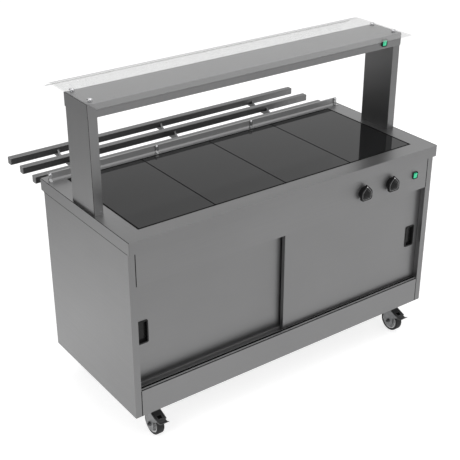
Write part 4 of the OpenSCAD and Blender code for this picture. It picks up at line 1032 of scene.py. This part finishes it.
# %% Dark strip on the ledge, painted shade
SHADE_STRIP_FRONT, SHADE_STRIP_BACK, SHADE_STRIP_H = 28.5, 36.5, 1.8
THIN_FRONT, THIN_BACK, THIN_H = 18.8, 21.2, 1.1
ledge_z = corners("bottom_door_track")[1].z
ledge_shade_mesh = bmesh.new()
left, right = plinth_low.x + 1, plinth_high.x - 1
shade_strip = block(ledge_shade_mesh, (left, SHADE_STRIP_FRONT, ledge_z - DARK_LINE_T), (right, SHADE_STRIP_BACK, ledge_z + SHADE_STRIP_H))
# The thin bar in the corner below it is painted shade too.
block(ledge_shade_mesh, (left, THIN_FRONT, plinth_high.z - DARK_LINE_T), (right, THIN_BACK, plinth_high.z + THIN_H))
soften(ledge_shade_mesh, above(edges_of(shade_strip), ledge_z), 0.8, 3)
finished("ledge_shade_strip", ledge_shade_mesh, "counter", silicone)

# %% [markdown]
# ## Heat lamps under the overshelf
#
# A quartz heat lamp is a milky tube with a wound heating wire inside and a white ceramic cap at each
# end. A spin with a step along its axis winds a small ring into the wire, one turn every fourteen
# millimetres. The tube itself is the construction model's, with a quartz finish.

# %% Heat lamps
tube_low, tube_high = corners("heat_tubes")
TUBE_R, TURN_STEP, WIRE_R, STEPS_A_TURN, COLD_END = 6.0, 14.0, 0.7, 8, 30
END_IN, END_OUT, END_HALF_Y, END_HALF_Z = 24, 2, 8.5, 8
turns = int((tube_high.x - tube_low.x - 2 * COLD_END) / TURN_STEP)
tube_z = (tube_low.z + tube_high.z) / 2
coil_mesh = bmesh.new()
end_mesh = bmesh.new()
for y in (tube_low.y + TUBE_R, tube_high.y - TUBE_R):
    ring = bmesh.ops.create_circle(coil_mesh, segments=5, radius=WIRE_R)["verts"]
    swing(coil_mesh, ring, QUARTER, "Y")
    swing(coil_mesh, ring, QUARTER, "Z")
    move(coil_mesh, ring, (tube_low.x + COLD_END, y, tube_z + TUBE_R * 0.55))
    bmesh.ops.spin(coil_mesh, geom=ring + edges_of(ring), cent=(0, y, tube_z), axis=(1, 0, 0),
                   dvec=(TURN_STEP / STEPS_A_TURN, 0, 0), angle=math.tau * turns,
                   steps=turns * STEPS_A_TURN)
    for x, inward in ((tube_low.x, 1), (tube_high.x, -1)):
        block(end_mesh, (x + inward * END_OUT, y - END_HALF_Y, tube_z - END_HALF_Z),
              (x + inward * END_IN, y + END_HALF_Y, tube_z + END_HALF_Z))
finished("heating_coils", coil_mesh, "counter", sheath)
soften(end_mesh, end_mesh.edges[:], 1.6, 3)
finished("lamp_ceramic_ends", end_mesh, "counter", ceramic_end)

# %% [markdown]
# ## The floor and the flag
#
# The floor is a large pale sheet. To the camera it is as white as the surroundings, and it still
# takes a soft shadow from the casters and the cabinet, because part of its light is real. In the
# steel it is mirrored as two pools of light, one at the left end and one in front, so that the
# cabinet's sides grow paler towards the floor. The flag hangs high at the back on the left, and the
# camera doesn't see it. Its cloth thins out towards its edges, so that no hard corner is mirrored.

# %% Floor
FLOOR_WHITE, FLOOR_GLOW = 0.72, 0.15
floor_finish = Finish("pale_floor", (0.5, 0.5, 0.5), 0.9)


def pool(x, y, radius, level):
    """A round pool of light on the floor that fades with the distance from its centre."""
    return floor_finish.result("MULTIPLY", floor_finish.falloff((x, y, 0), radius), level)


pools = floor_finish.result("ADD", pool(-1.0, 0.45, 2.4, 0.68), pool(1.6, -1.4, 3.2, 0.47))
mirrored = floor_finish.result("ADD", pools, FLOOR_GLOW)
camera_ray = floor_finish.node("LightPath").outputs["Is Camera Ray"]
strength = floor_finish.node("Mix", Factor=camera_ray, A=mirrored, B=FLOOR_WHITE)
glow = floor_finish.node("Emission", Strength=strength.outputs["Result"])
floor_finish.surface("AddShader", floor_finish.shader.outputs[0], glow.outputs[0])
floor_mesh = bmesh.new()
bmesh.ops.create_grid(floor_mesh, x_segments=1, y_segments=1, size=14)
floor = to_object("studio_floor", floor_mesh, floor_finish)
print("floor size in metres:", floor.dimensions[0])

# %% Flag
FLAG_HALF, FADE_R = 2.3, 2.5
flag_place = Vector((-2.7, 3.0, 3.1))
flag_target = Vector((-0.7, 0.0, 0.95))
flag_finish = Finish("flag_cloth", (0.02, 0.02, 0.02), 0.9)
flag_finish.tint(flag_finish.noise(30.0), (0.015, 0.015, 0.015), (0.025, 0.025, 0.025))
thickness = flag_finish.between(flag_finish.falloff(flag_place, FADE_R), 0.0, 1.0, 0.08, 0.5)
gap = flag_finish.node("BsdfTransparent").outputs[0]
flag_finish.surface("MixShader", thickness, gap, flag_finish.shader.outputs[0])
flag_mesh = bmesh.new()
bmesh.ops.create_grid(flag_mesh, x_segments=1, y_segments=1, size=FLAG_HALF)
facing = (flag_target - flag_place).to_track_quat("Z", "Y").to_matrix()
bmesh.ops.rotate(flag_mesh, verts=flag_mesh.verts, cent=(0, 0, 0), matrix=facing)
move(flag_mesh, flag_mesh.verts, flag_place)
flag = to_object("dark_flag", flag_mesh, flag_finish)
flag.visible_camera = False
print("flag at", flag_place[:])
